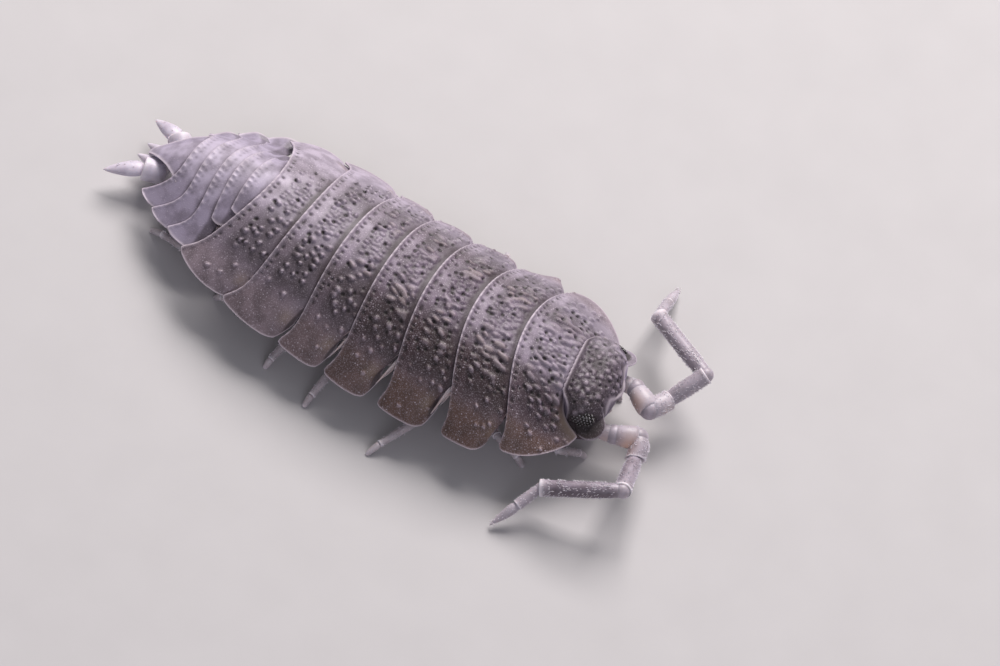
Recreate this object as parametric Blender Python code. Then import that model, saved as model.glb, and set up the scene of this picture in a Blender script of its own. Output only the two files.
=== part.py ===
"""A rough woodlouse at life size, as a still museum model.

The animal stands on the plane z = 0 with its head towards -Y, its tail towards +Y and its back up.
Shapes are worked out in millimetres and turned to metres when a piece is finished.

A place on the body is given as (side, along, up). Side runs to the animal's left of its middle
line. Along runs towards the tail, from the back rim of the fourth ring. Up is measured from the
lower corners of that ring. The body bends a little, and place() carries such a place onto it.
"""
import math
import random

import bmesh
import bpy
from mathutils import Matrix, Vector

MM = 0.001

# Corners closer than this are one
MERGE = 0.0001

# Gap between neighbouring pieces
GAP = 0.25

# Stance and bend of the body
RIDE = 1.25
BEND = 0.01235
TWIST = 0.00072
BEND_HELD = 4.8
SAG = 0.007
TAIL_START = 4.4
TAIL_DROOP = 0.05

# Cross-section of the back
DOME_POWER = 2.54
DOME_SOFT = 0.173
HOOK_POWER = 12.7
BACK_HEIGHT = 2.22
BACK_TAPER = 0.24
RIM = 0.12
BELLY = 0.15
BELLY_REACH = 0.66
ARCH = 0.30
STEP = 0.16
TUCK = 0.12

# Collar of the first ring round the head
COLLAR_HALF_WIDTH = 2.0
COLLAR_ALONG = -6.2
COLLAR_REACH = 1.03
COLLAR_POWER = 6.7
COLLAR_HEIGHT = 1.25

# Rings of the trunk: back rim on the middle line, half width, hook, sweep and bulge of the side
TRUNK = (
    dict(along=-4.55, half=3.23, hook=0.31, sweep=-0.83, bulge=0.40),
    dict(along=-2.91, half=3.53, hook=0.34, sweep=-0.93, bulge=0.14),
    dict(along=-1.42, half=3.59, hook=0.38, sweep=-0.63, bulge=0.14),
    dict(along=0.00, half=3.52, hook=0.40, sweep=-0.38, bulge=0.10),
    dict(along=1.44, half=3.48, hook=0.42, sweep=-0.34, bulge=0.08),
    dict(along=2.93, half=3.30, hook=0.48, sweep=0.16, bulge=0.12),
    dict(along=4.38, half=2.75, hook=0.41, sweep=0.68, bulge=0.22),
)

# Rings of the tail, with the height of the middle line and how far the corners hang
TAIL = (
    dict(along=4.95, half=1.25, front=1.20, dome=2.35, hook=0.00, power=8, sweep=-0.12,
         peak=1.55, drop=-0.15),
    dict(along=5.42, half=1.62, front=1.57, dome=2.30, hook=0.00, power=8, sweep=-0.25,
         peak=1.40, drop=-0.22),
    dict(along=5.84, half=2.16, front=2.26, dome=2.28, hook=0.88, power=8, sweep=-0.42,
         peak=1.24, drop=-0.36),
    dict(along=6.36, half=1.66, front=2.02, dome=1.90, hook=1.15, power=7, sweep=-0.30,
         peak=1.05, drop=-0.44),
    dict(along=6.85, half=1.20, front=1.58, dome=1.45, hook=1.08, power=6, sweep=-0.08,
         peak=0.85, drop=-0.46),
)
TAIL_BULGE = 0.10
TAIL_VAULT = 0.45
TAIL_RIM = 0.24

# Tail plate
TELSON_HALF_WIDTH = 0.92
TELSON_TIP = 8.33
TELSON_PEAK = 0.62
TELSON_TIP_UP = -0.35
TELSON_THICKNESS = 0.30
TELSON_ROOT_EXTRA = 0.25
TELSON_NARROWING = 1.5
TELSON_BLUNTNESS = 0.07
TELSON_ROUNDNESS = 0.45

# Head
HEAD_CENTRE = (0.0, -6.85, 0.25)
HEAD_RADII = (1.60, 1.05, 0.97)
HEAD_SQUARENESS = 2.5
LOBE_CENTRE = (1.22, -7.45, 0.12)
LOBE_RADII = (0.30, 0.50, 0.13)
LOBE_TURN = 25
BROW_CENTRE = (0.0, -7.58, 0.42)
BROW_RADII = (0.62, 0.34, 0.14)
LIP_CENTRE = (0.0, -7.42, -0.38)
LIP_RADII = (0.50, 0.34, 0.22)
EYE_AIM = (0.98, -0.14, 0.14)
EYE_PIT_DEPTH = 1.18
EYE_PIT_RADIUS = 0.54
EYE_RADII = (0.40, 0.36, 0.24)
EYE_FLAT = 0.02
PALP_CENTRE = (0.30, -6.92, -0.98)
PALP_RADII = (0.32, 0.62, 0.15)

# Legs: where each is rooted, its bend and its foot, as side and along for the right side
LEGS = (
    dict(root=(1.94, -5.35), stride=-1, knuckle=(1.80, -6.70), foot=(1.20, -7.45)),
    dict(root=(2.10, -3.85), stride=-1, knuckle=(2.75, -4.90), foot=(2.45, -5.93)),
    dict(root=(2.12, -2.35), stride=-1, knuckle=(3.05, -2.80), foot=(4.45, -2.10)),
    dict(root=(2.10, -0.80), stride=1, knuckle=(2.90, -0.12), foot=(4.08, 0.00)),
    dict(root=(2.08, 0.65), stride=1, knuckle=(2.80, 1.38), foot=(3.65, 1.53)),
    dict(root=(1.98, 2.15), stride=1, knuckle=(2.55, 3.15), foot=(2.52, 4.00)),
    dict(root=(1.65, 3.60), stride=1, knuckle=(2.05, 5.20), foot=(1.80, 6.85)),
)
HIP_DROP = 0.30
KNEE_SHARE = 0.57
KNEE_ALONG = 0.15
KNEE_HEIGHT = 0.50
SHIN_SHARE = 0.50
SHIN_ALONG = 0.62
KNUCKLE_HEIGHT = 0.62
ANKLE_SHARE = 0.78
ANKLE_HEIGHT = 0.26
FOOT_SINK = 0.05
LEG_RADIUS = 0.25
LEG_SLIM = 0.85
ANKLE_SLIM = 0.7
FOOT_SLIM = 0.5
CLAW_RADIUS = 0.09
LEFT_STEP = 0.22

# Antennae: the ends of their articles as side, along and height above the floor
ANTENNA_RIGHT = (
    (-0.98, -7.84, 1.22), (-0.92, -8.02, 1.25), (-0.72, -8.68, 1.30), (-1.38, -8.86, 1.12),
    (-3.06, -8.95, 1.72), (-3.64, -6.71, 1.05), (-4.27, -6.31, 0.66), (-4.96, -5.79, 0.12),
)
ANTENNA_LEFT = (
    (0.98, -7.84, 1.22), (0.92, -8.02, 1.25), (0.42, -8.62, 1.22), (1.03, -8.99, 1.20),
    (1.96, -9.72, 1.85), (3.72, -7.68, 1.28), (4.68, -7.74, 0.75), (5.75, -7.82, 0.16),
)
PEDUNCLE_RADII = (0.26, 0.34, 0.30, 0.27, 0.26)
WHIP_RADII = (0.24, 0.23)
WHIP_TIP = 0.10

# Uropods
STALK_ROOT = (0.70, 7.30, -0.80)
STALK_END = (0.87, 8.02, -0.36)
STALK_RADIUS = 0.22
BLADE_END = (1.42, 9.13, -0.40)
BLADE_RADIUS = 0.23
BLADE_FLATNESS = 0.62
INNER_BLADE_END = (0.42, 8.62, -0.52)
INNER_BLADE_RADIUS = 0.16
INNER_BLADE_SHARE = 0.6
BLADE_TIP = 0.06

# Breathing plates under the tail
GILL_FIRST = 4.95
GILL_PITCH = 0.50
GILL_SIDE = 0.62
GILL_RADII = (0.50, 0.30, 0.12)
GILL_TILT = 38
GILL_UP = 0.02
GILL_SINK = 0.10
GILL_SHRINK = 0.07

# Tubercles of the back and of the head
TUBERCLE_ROWS = (2, 4)
TUBERCLE_REACH = 0.80
TUBERCLE_LOW = 0.06
TUBERCLE_HIGH = 0.14
HEAD_BUMP = 0.05

# Fineness of the surfaces
TRUNK_COLUMNS = 40
TRUNK_ROWS = 6
TAIL_COLUMNS = 20
TAIL_ROWS = 2
TELSON_COLUMNS = 12
TELSON_ROWS = 5
SEAT_COLUMNS = 20
HEAD_COLUMNS = 28
HEAD_ROWS = 18
COLUMN_SPREAD = 1.1
LIMB_SIDES = 8

# Articles of a limb: how narrow their ends are, where they are thickest and how far they overlap
END_NARROWING = 0.70
FIRST_BULGE = 0.12
LAST_BULGE = 0.75
OVERLAP = 0.35
ROOT_NARROWING = 0.85

parts = None
rest = None


def start():
    """Empty the scene and make the collection and the empty that carry the pieces."""
    global parts, rest
    for thing in list(bpy.data.objects):
        bpy.data.objects.remove(thing)
    parts = bpy.data.collections.new("woodlouse")
    bpy.context.scene.collection.children.link(parts)
    rest = bpy.data.objects.new("woodlouse_rest", None)
    parts.objects.link(rest)


def material(name, colour, roughness):
    """Make a plain horny material."""
    made = bpy.data.materials.new(name)
    made.use_nodes = True
    shader = made.node_tree.nodes["Principled BSDF"]
    shader.inputs["Base Color"].default_value = (*colour, 1.0)
    shader.inputs["Roughness"].default_value = roughness
    shader.inputs["Metallic"].default_value = 0.0
    return made


def place(side, along, up):
    """Carry a place on the straightened body onto the bent body above the floor."""
    held = min(max(along, -BEND_HELD), BEND_HELD)
    slope = 2 * BEND * held - 3 * TWIST * held**2
    shift = BEND * held**2 - TWIST * held**3 + slope * (along - held)
    calm = min(max(along, -BEND_HELD), TAIL_START)
    past = max(along - TAIL_START, 0.0)
    rise = 2 * SAG * calm
    lift = SAG * calm**2 + rise * (along - calm) - TAIL_DROOP * past**2 / 2
    lean = (TAIL_DROOP * past - rise) * up
    turn = -slope
    x = shift + side * math.cos(turn) - lean * math.sin(turn)
    y = along + side * math.sin(turn) + lean * math.cos(turn)
    return Vector((x, y, RIDE + lift + up))


def stand(side, along, height):
    """A place beside the body, at a height above the floor."""
    spot = place(side, along, 0.0)
    spot.z = height
    return spot


def dome(reach, height):
    """Height of the back at a share of the half width from the middle line."""
    reach = min(abs(reach), 1.0)
    round_part = 1 - reach**DOME_POWER
    soft_part = (math.cos(math.pi * reach) + 1) / 2
    return height * ((1 - DOME_SOFT) * round_part + DOME_SOFT * soft_part)


def rim_along(ring, side):
    """Where a ring's back rim lies at a distance from the middle line."""
    reach = abs(side) / ring["half"]
    power = ring.get("power", HOOK_POWER)
    return ring["along"] + ring["hook"] * reach**power + ring["sweep"] * reach**2


def trunk_height(number):
    """Height of the back at the back rim of a trunk ring."""
    share = (number - 4) / 3
    return BACK_HEIGHT * (1 - BACK_TAPER * share**2)


def blend(start_value, end_value, share):
    return start_value + (end_value - start_value) * share


def shell(columns, rows, top, under, relief=None):
    """A closed plate made from a grid. top and under give (side, along, up) at across and down.

    relief tells how far the top is raised at a column and a row of the grid.
    """
    mesh = bmesh.new()
    bmesh.ops.create_grid(mesh, x_segments=columns, y_segments=rows, size=1.0)
    lower = bmesh.ops.extrude_face_region(mesh, geom=mesh.faces[:])["geom"]
    lower = [item for item in lower if isinstance(item, bmesh.types.BMVert)]
    bmesh.ops.translate(mesh, vec=(0, 0, -1), verts=lower)
    spare = [
        edge for edge in mesh.edges
        if max(vert.co.z for vert in edge.verts) < -0.5
        and abs(edge.verts[0].co.y - edge.verts[1].co.y) < 1e-6
        and abs(edge.verts[0].co.y) < 0.999
    ]
    bmesh.ops.dissolve_edges(mesh, edges=spare, use_verts=True)
    for vert in mesh.verts:
        across = math.sin(COLUMN_SPREAD * vert.co.x) / math.sin(COLUMN_SPREAD)
        down = (vert.co.y + 1) / 2
        is_top = vert.co.z > -0.5
        surface = top if is_top else under
        raised = Vector((0.0, 0.0, 0.0))
        if is_top and relief:
            column = round((vert.co.x + 1) / 2 * columns)
            raised.z = relief[round(down * rows)][column]
        vert.co = place(*surface(across, down)) + raised
    face_out(mesh)
    return mesh


def is_bump(spot, columns, rows):
    """Whether a place on the upper half of a sphere is one of every second places of its net."""
    column = round(math.atan2(spot.y, spot.x) / (2 * math.pi) * columns)
    row = round(math.acos(spot.z) / math.pi * rows)
    return 1 < row <= rows // 2 and (column + row) % 2 == 0


def ball(centre, radii, turn=None, columns=16, rows=10, squareness=2.0, bump=0.0):
    """An egg or a rounded box about a centre, in body places, with bumps on its upper half."""
    mesh = bmesh.new()
    bmesh.ops.create_uvsphere(mesh, u_segments=columns, v_segments=rows, radius=1.0)
    turn = turn or Matrix.Identity(3)
    for vert in mesh.verts:
        size = sum(abs(value)**squareness for value in vert.co)**(1 / squareness)
        if bump and is_bump(vert.co, columns, rows):
            size /= 1 + bump
        point = turn @ Vector([value / size * radius for value, radius in zip(vert.co, radii)])
        vert.co = place(*(Vector(centre) + point))
    face_out(mesh)
    return mesh


def article(first, last, radii, sides=LIMB_SIDES, overlap=OVERLAP, flatness=1.0):
    """One article of a limb: a round rod with narrowed, rounded ends."""
    line = last - first
    length = line.length
    root, belly, end = radii
    reach = overlap * root
    past = overlap * end
    stations = (
        (-reach, END_NARROWING * root),
        (FIRST_BULGE * length, root),
        (LAST_BULGE * length, belly),
        (length + past, END_NARROWING * end),
    )
    mesh = bmesh.new()
    rings = []
    for distance, radius in stations:
        level = Matrix.Translation((0, 0, distance)) @ Matrix.Diagonal((1, flatness, 1, 1))
        ring = bmesh.ops.create_circle(mesh, segments=sides, radius=radius, matrix=level)["verts"]
        rings.append([edge for edge in mesh.edges if edge.verts[0] in ring])
    for lower, upper in zip(rings, rings[1:]):
        bmesh.ops.bridge_loops(mesh, edges=lower + upper)
    bmesh.ops.holes_fill(mesh, edges=rings[0] + rings[-1], sides=sides)
    across = line.cross(Vector((0, 0, 1))).normalized()
    over = across.cross(line.normalized())
    frame = Matrix((across, over, line.normalized())).transposed().to_4x4()
    bmesh.ops.transform(mesh, matrix=Matrix.Translation(first) @ frame, verts=mesh.verts)
    face_out(mesh)
    return mesh


def face_out(mesh):
    """Turn the faces of a closed mesh outwards."""
    bmesh.ops.recalc_face_normals(mesh, faces=mesh.faces)
    if mesh.calc_volume(signed=True) < 0:
        bmesh.ops.reverse_faces(mesh, faces=mesh.faces)


def cut_below(mesh, level):
    """Take away what lies below a level and close the cut with a flat."""
    cut = bmesh.ops.bisect_plane(
        mesh, geom=mesh.verts[:] + mesh.edges[:] + mesh.faces[:], plane_co=(0, 0, level),
        plane_no=(0, 0, -1), clear_outer=True,
    )
    border = [item for item in cut["geom_cut"] if isinstance(item, bmesh.types.BMEdge)]
    bmesh.ops.holes_fill(mesh, edges=border)
    face_out(mesh)


def to_object(name, mesh):
    """Put a mesh in millimetres into the scene as an object."""
    data = bpy.data.meshes.new(name)
    mesh.to_mesh(data)
    mesh.free()
    made = bpy.data.objects.new(name, data)
    bpy.context.scene.collection.objects.link(made)
    return made


def largest_surface(mesh):
    """Keep only the largest closed surface of a mesh."""
    left = set(mesh.faces)
    groups = []
    while left:
        group = set()
        edge_of_group = [left.pop()]
        while edge_of_group:
            face = edge_of_group.pop()
            group.add(face)
            for edge in face.edges:
                for other in edge.link_faces:
                    if other in left:
                        left.remove(other)
                        edge_of_group.append(other)
        groups.append(group)
    groups.sort(key=lambda group: sum(face.calc_area() for face in group))
    spare = [face for group in groups[:-1] for face in group]
    if spare:
        bmesh.ops.delete(mesh, geom=spare, context="FACES")


def combine(meshes, cutters=()):
    """Join closed meshes with one Boolean union, cut them, and return one closed mesh."""
    base = to_object("joined", meshes[0])
    used = []
    for operation, others in (("UNION", meshes[1:]), ("DIFFERENCE", cutters)):
        if not others:
            continue
        group = bpy.data.collections.new(operation.lower())
        bpy.context.scene.collection.children.link(group)
        for other in others:
            piece = to_object("piece", other)
            bpy.context.scene.collection.objects.unlink(piece)
            group.objects.link(piece)
            used.append(piece)
        modifier = base.modifiers.new(operation.lower(), "BOOLEAN")
        modifier.operation = operation
        modifier.operand_type = "COLLECTION"
        modifier.collection = group
        modifier.solver = "EXACT"
    depsgraph = bpy.context.evaluated_depsgraph_get()
    data = bpy.data.meshes.new_from_object(base.evaluated_get(depsgraph))
    joined = bmesh.new()
    joined.from_mesh(data)
    for piece in used + [base]:
        bpy.data.objects.remove(piece)
    for name in ("union", "difference"):
        group = bpy.data.collections.get(name)
        if group:
            bpy.data.collections.remove(group)
    bpy.data.meshes.remove(data)
    bmesh.ops.remove_doubles(joined, verts=joined.verts, dist=MERGE)
    largest_surface(joined)
    return joined


def finish(name, mesh, finish_material):
    """Turn a mesh to metres and hang it from the resting empty."""
    bmesh.ops.scale(mesh, vec=(MM, MM, MM), verts=mesh.verts)
    made = to_object(name, mesh)
    made.data.materials.append(finish_material)
    made.data.shade_smooth()
    made.data.set_sharp_from_angle(angle=math.radians(40))
    bpy.context.scene.collection.objects.unlink(made)
    parts.objects.link(made)
    made.parent = rest
    return made


def front_along(number, side):
    """Where a trunk ring's front lies: the collar round the head, or clear of the ring before."""
    if number == 1:
        reach = abs(side) / COLLAR_HALF_WIDTH
        return COLLAR_ALONG - COLLAR_REACH * reach**COLLAR_POWER
    return rim_along(TRUNK[number - 2], side) + GAP


def tubercles(number):
    """Heights of a trunk ring's tubercles: every second place of two rows, each a little different."""
    chance = random.Random(number)
    relief = [[0.0] * (TRUNK_COLUMNS + 1) for row in range(TRUNK_ROWS + 1)]
    for row in TUBERCLE_ROWS:
        for column in range(1, TRUNK_COLUMNS):
            reach = abs(2 * column / TRUNK_COLUMNS - 1)
            height = chance.uniform(TUBERCLE_LOW, TUBERCLE_HIGH)
            if reach < TUBERCLE_REACH and (column + row // 2) % 2 == 0:
                relief[row][column] = height
    return relief


def trunk_ring(number):
    """One of the seven rings that carry legs: an arched plate over a low belly."""
    ring = TRUNK[number - 1]
    if number == 1:
        front_half = COLLAR_HALF_WIDTH
        front_height = COLLAR_HEIGHT
    else:
        front_half = TRUNK[number - 2]["half"] - TUCK
        front_height = trunk_height(number - 1) - STEP

    def outline(across, down):
        half = blend(front_half, ring["half"], down) + ring["bulge"] * 4 * down * (1 - down)
        front = front_along(number, front_half * across)
        back = rim_along(ring, ring["half"] * across)
        return half * across, blend(front, back, down)

    def top(across, down):
        side, along = outline(across, down)
        height = blend(front_height, trunk_height(number), down)
        return side, along, dome(across, height)

    def under(across, down):
        side, along = outline(across, down)
        past = max(abs(across) - BELLY_REACH, 0.0) / (1 - BELLY_REACH)
        return side, along, ARCH * math.sin(math.pi * past)**2 - BELLY

    return shell(TRUNK_COLUMNS, TRUNK_ROWS, top, under, tubercles(number))


def tail_front_along(number, side):
    """Where a tail ring's front lies, clear of the last trunk ring and of the ring before."""
    clear = [rim_along(TRUNK[-1], side) + GAP]
    if number > 1:
        clear.append(rim_along(TAIL[number - 2], side) + GAP)
    return max(clear)


def tail_ring(number):
    """One of the five short rings of the tail, a plate vaulted from below."""
    ring = TAIL[number - 1]

    def outline(across, down):
        half = blend(ring["front"], ring["half"], down) + TAIL_BULGE * 4 * down * (1 - down)
        front = tail_front_along(number, ring["front"] * across)
        back = rim_along(ring, ring["half"] * across)
        return half * across, blend(front, back, down)

    def top(across, down):
        side, along = outline(across, down)
        height = ring["peak"] - ring["drop"] - (1 - down) * STEP / 2
        return side, along, ring["drop"] + dome(side / ring["dome"], height)

    def under(across, down):
        side, along = outline(across, down)
        vault = TAIL_VAULT * (ring["peak"] - ring["drop"])
        return side, along, ring["drop"] - TAIL_RIM + dome(side / ring["dome"], vault)

    return shell(TAIL_COLUMNS, TAIL_ROWS, top, under)


def telson():
    """The pointed tail plate."""
    front = TAIL[-1]["along"] + GAP

    def outline(across, down):
        half = TELSON_HALF_WIDTH * (1 - down)**TELSON_NARROWING + TELSON_BLUNTNESS
        start_along = rim_along(TAIL[-1], TELSON_HALF_WIDTH * across) + GAP
        return half * across, blend(start_along, TELSON_TIP, down)

    def top(across, down):
        side, along = outline(across, down)
        height = blend(TELSON_PEAK, TELSON_TIP_UP, (along - front) / (TELSON_TIP - front))
        return side, along, height - TELSON_ROUNDNESS * side**2

    def under(across, down):
        side, along, up = top(across, down)
        return side, along, up - TELSON_THICKNESS - TELSON_ROOT_EXTRA * (1 - down)

    return shell(TELSON_COLUMNS, TELSON_ROWS, top, under)


def turned(degrees, axis):
    return Matrix.Rotation(math.radians(degrees), 3, axis)


def mirrored(point, sign):
    return Vector((point[0] * sign, point[1], point[2]))


def eye_frame(sign):
    """Where an eye looks: its direction, and two axes along the head's surface."""
    aim = mirrored(EYE_AIM, sign).normalized()
    fore = Vector((0, -1, 0))
    over = aim.cross(fore).normalized()
    fore = over.cross(aim).normalized()
    return Matrix((fore, over, aim)).transposed()


def eye_pit(sign):
    """The round, flat-bottomed seat that an eye sits in."""
    mesh = bmesh.new()
    bmesh.ops.create_cone(
        mesh, cap_ends=True, segments=16, radius1=EYE_PIT_RADIUS, radius2=EYE_PIT_RADIUS, depth=1.0
    )
    frame = eye_frame(sign)
    for vert in mesh.verts:
        point = frame @ (vert.co + Vector((0, 0, EYE_PIT_DEPTH + 0.5)))
        vert.co = place(*(Vector(HEAD_CENTRE) + point))
    face_out(mesh)
    return mesh


def eye(sign):
    """A domed eye, flat where it faces its seat."""
    mesh = bmesh.new()
    bmesh.ops.create_uvsphere(mesh, u_segments=12, v_segments=8, radius=1.0)
    cut_below(mesh, EYE_FLAT)
    frame = eye_frame(sign)
    for vert in mesh.verts:
        point = Vector([value * radius for value, radius in zip(vert.co, EYE_RADII)])
        point = frame @ (point + Vector((0, 0, EYE_PIT_DEPTH + GAP)))
        vert.co = place(*(Vector(HEAD_CENTRE) + point))
    face_out(mesh)
    return mesh


def head_seat():
    """What the first ring's collar takes from the head, with the gap round it."""
    inner = COLLAR_HALF_WIDTH - GAP

    def outline(across, down):
        front = front_along(1, COLLAR_HALF_WIDTH * across) - GAP
        return blend(inner, 4.0, down) * across, blend(front, -4.5, down)

    def top(across, down):
        return (*outline(across, down), 3.0)

    def under(across, down):
        return (*outline(across, down), -3.0)

    return shell(SEAT_COLUMNS, 1, top, under)


def head():
    """The head with its brow, its two side lobes and its lip."""
    pieces = [ball(HEAD_CENTRE, HEAD_RADII, None, HEAD_COLUMNS, HEAD_ROWS, HEAD_SQUARENESS, HEAD_BUMP)]
    pieces.append(ball(BROW_CENTRE, BROW_RADII, columns=12, rows=6))
    pieces.append(ball(LIP_CENTRE, LIP_RADII, columns=12, rows=6))
    for sign in (-1, 1):
        turn = turned(LOBE_TURN * sign, "Z")
        pieces.append(ball(mirrored(LOBE_CENTRE, sign), LOBE_RADII, turn, columns=12, rows=6))
    return combine(pieces, [head_seat(), eye_pit(-1), eye_pit(1)])


def mouthparts():
    """The paired plates that close the mouth from below."""
    pieces = [ball(mirrored(PALP_CENTRE, sign), PALP_RADII, columns=12, rows=6) for sign in (-1, 1)]
    return combine(pieces)


def leg(number, sign):
    """A walking leg of a root, six articles and a claw that ends in a small flat on the floor."""
    plan = LEGS[number - 1]
    step = LEFT_STEP * (-1)**number if sign > 0 else 0.0
    side, along = plan["root"]
    stride = plan["stride"]
    root = place(sign * side, along, -BELLY - GAP)
    hip = stand(sign * side, along, root.z - HIP_DROP)
    knee_side = side * KNEE_SHARE
    knee = stand(sign * knee_side, along + KNEE_ALONG * stride, KNEE_HEIGHT)
    shin_side = blend(knee_side, side, SHIN_SHARE)
    shin = stand(sign * shin_side, along + SHIN_ALONG * stride, KNEE_HEIGHT)
    knuckle = stand(sign * plan["knuckle"][0], plan["knuckle"][1] + step / 2, KNUCKLE_HEIGHT)
    foot = stand(sign * plan["foot"][0], plan["foot"][1] + step, -FOOT_SINK)
    middle = shin.lerp(knuckle, 0.5)
    ankle = knuckle.lerp(foot, ANKLE_SHARE)
    ankle.z = ANKLE_HEIGHT
    thick = LEG_RADIUS
    slim = LEG_SLIM * thick
    thin = ANKLE_SLIM * thick
    pieces = [
        article(root, hip, (thick, thick, thick), overlap=0.0),
        article(hip, knee, (thick, thick, slim)),
        article(knee, shin, (slim, slim, slim)),
        article(shin, middle, (slim, thick, slim)),
        article(middle, knuckle, (slim, thick, slim)),
        article(knuckle, ankle, (slim, slim, thin)),
        article(ankle, foot, (thin, FOOT_SLIM * thick, CLAW_RADIUS)),
    ]
    joined = combine(pieces)
    cut_below(joined, 0.0)
    return joined


def antenna_joints(places):
    return [stand(*spot) for spot in places]


def peduncle(places):
    """The five thick articles of an antenna."""
    joints = antenna_joints(places)[:6]
    pieces = []
    for index, (first, last) in enumerate(zip(joints, joints[1:])):
        radius = PEDUNCLE_RADII[index]
        overlap = 0.0 if index == 0 else OVERLAP
        radii = (ROOT_NARROWING * radius, radius, radius)
        pieces.append(article(first, last, radii, overlap=overlap))
    return combine(pieces)


def whip(places):
    """The two slender end articles of an antenna, set a gap beyond the thick ones."""
    joints = antenna_joints(places)[5:]
    aim = (joints[1] - joints[0]).normalized()
    joints[0] = joints[0] + aim * (OVERLAP * PEDUNCLE_RADII[-1] + GAP)
    first, second = WHIP_RADII
    pieces = [
        article(joints[0], joints[1], (ROOT_NARROWING * first, first, second), overlap=0.0),
        article(joints[1], joints[2], (second, second, WHIP_TIP)),
    ]
    return combine(pieces)


def uropod(sign):
    """A forked tail leg: a stalk, a broad outer blade and a slim inner one."""
    root = place(*mirrored(STALK_ROOT, sign))
    end = place(*mirrored(STALK_END, sign))
    tip = place(*mirrored(BLADE_END, sign))
    inner_tip = place(*mirrored(INNER_BLADE_END, sign))
    inner_root = root.lerp(end, INNER_BLADE_SHARE)
    stout = STALK_RADIUS
    blade = BLADE_RADIUS
    slim = INNER_BLADE_RADIUS
    pieces = [
        article(root, end, (ROOT_NARROWING * stout, stout, stout)),
        article(end, tip, (blade, blade, BLADE_TIP), flatness=BLADE_FLATNESS),
        article(inner_root, inner_tip, (slim, slim, BLADE_TIP)),
    ]
    return combine(pieces)


def gill(number, sign):
    """One of the overlapping breathing plates under the tail."""
    along = GILL_FIRST + GILL_PITCH * (number - 1)
    shrink = 1 - GILL_SHRINK * (number - 1)
    radii = (GILL_RADII[0] * shrink, GILL_RADII[1], GILL_RADII[2])
    centre = Vector((sign * GILL_SIDE * shrink, along, GILL_UP - GILL_SINK * number))
    return ball(centre, radii, turned(-GILL_TILT, "X"), columns=12, rows=6)


def settle():
    """Centre the whole animal over the origin."""
    bpy.context.view_layer.update()
    corners = [
        piece.matrix_world @ Vector(vert.co)
        for piece in parts.objects if piece.type == "MESH" for vert in piece.data.vertices
    ]
    low = [min(corner[axis] for corner in corners) for axis in range(2)]
    high = [max(corner[axis] for corner in corners) for axis in range(2)]
    rest.location = (-(low[0] + high[0]) / 2, -(low[1] + high[1]) / 2, 0.0)


def build():
    start()
    shell_grey = material("shell_grey", (0.22, 0.18, 0.20), 0.55)
    pale_limb = material("pale_limb", (0.42, 0.36, 0.36), 0.50)
    eye_black = material("eye_black", (0.01, 0.01, 0.01), 0.20)
    gill_white = material("gill_white", (0.62, 0.58, 0.55), 0.45)
    finish("head", head(), shell_grey)
    finish("mouthparts", mouthparts(), pale_limb)
    for number in range(1, 8):
        finish(f"pereonite_{number}", trunk_ring(number), shell_grey)
    for number in range(1, 6):
        finish(f"pleonite_{number}", tail_ring(number), shell_grey)
    finish("telson", telson(), shell_grey)
    for word, sign, places in (("right", -1, ANTENNA_RIGHT), ("left", 1, ANTENNA_LEFT)):
        finish(f"eye_{word}", eye(sign), eye_black)
        finish(f"antenna_{word}_peduncle", peduncle(places), pale_limb)
        finish(f"antenna_{word}_flagellum", whip(places), pale_limb)
        for number in range(1, 8):
            finish(f"leg_{word}_{number}", leg(number, sign), pale_limb)
        for number in range(1, 6):
            finish(f"pleopod_{word}_{number}", gill(number, sign), gill_white)
        finish(f"uropod_{word}", uropod(sign), pale_limb)
    settle()


build()
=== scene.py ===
# %% [markdown]
# # A rough woodlouse at life size
# The model shows one land isopod in mid walk, about 16 mm long. Its solids come from the packed
# frame, in metres, and every piece below is dressed over them in the same place. A shape is worked
# out in millimetres first, because its details are a few hundredths of a millimetre, and is turned
# to metres when its piece is finished.

import math

import bmesh
import bpy
import numpy as np
from mathutils import Matrix, Vector
from mathutils.kdtree import KDTree


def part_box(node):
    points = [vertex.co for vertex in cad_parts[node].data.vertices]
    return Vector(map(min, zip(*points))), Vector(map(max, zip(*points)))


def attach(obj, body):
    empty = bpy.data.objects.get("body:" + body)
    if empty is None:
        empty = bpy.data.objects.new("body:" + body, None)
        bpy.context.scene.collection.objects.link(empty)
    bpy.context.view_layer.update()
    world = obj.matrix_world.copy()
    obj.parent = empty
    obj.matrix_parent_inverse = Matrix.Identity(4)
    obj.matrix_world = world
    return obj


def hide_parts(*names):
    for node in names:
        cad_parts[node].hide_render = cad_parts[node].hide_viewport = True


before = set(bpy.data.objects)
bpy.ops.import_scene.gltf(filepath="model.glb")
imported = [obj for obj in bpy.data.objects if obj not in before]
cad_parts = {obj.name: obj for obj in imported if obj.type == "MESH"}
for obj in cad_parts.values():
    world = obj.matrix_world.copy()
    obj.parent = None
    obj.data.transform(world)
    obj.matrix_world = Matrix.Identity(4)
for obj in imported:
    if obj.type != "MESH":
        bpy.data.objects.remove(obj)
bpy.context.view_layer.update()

# %% [markdown]
# # The bend of the body
# The animal bends a little to one side as it walks. A place on the straightened body is given as
# side (to its left), along (to its tail) and up (from the lower corners of its fourth ring). One
# function carries such places onto the bent body, for thousands of points at once, so that a plate
# can be shaped on a straight body and still follow the curve.

# %% Carry places onto the bent body
MM = 0.001
RIDE = 1.25
BEND = 0.01235
TWIST = 0.00072
BEND_HELD = 4.8
SAG = 0.007
TAIL_START = 4.4
TAIL_DROOP = 0.05
CENTRING = (-1.0869, 0.2367)


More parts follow.
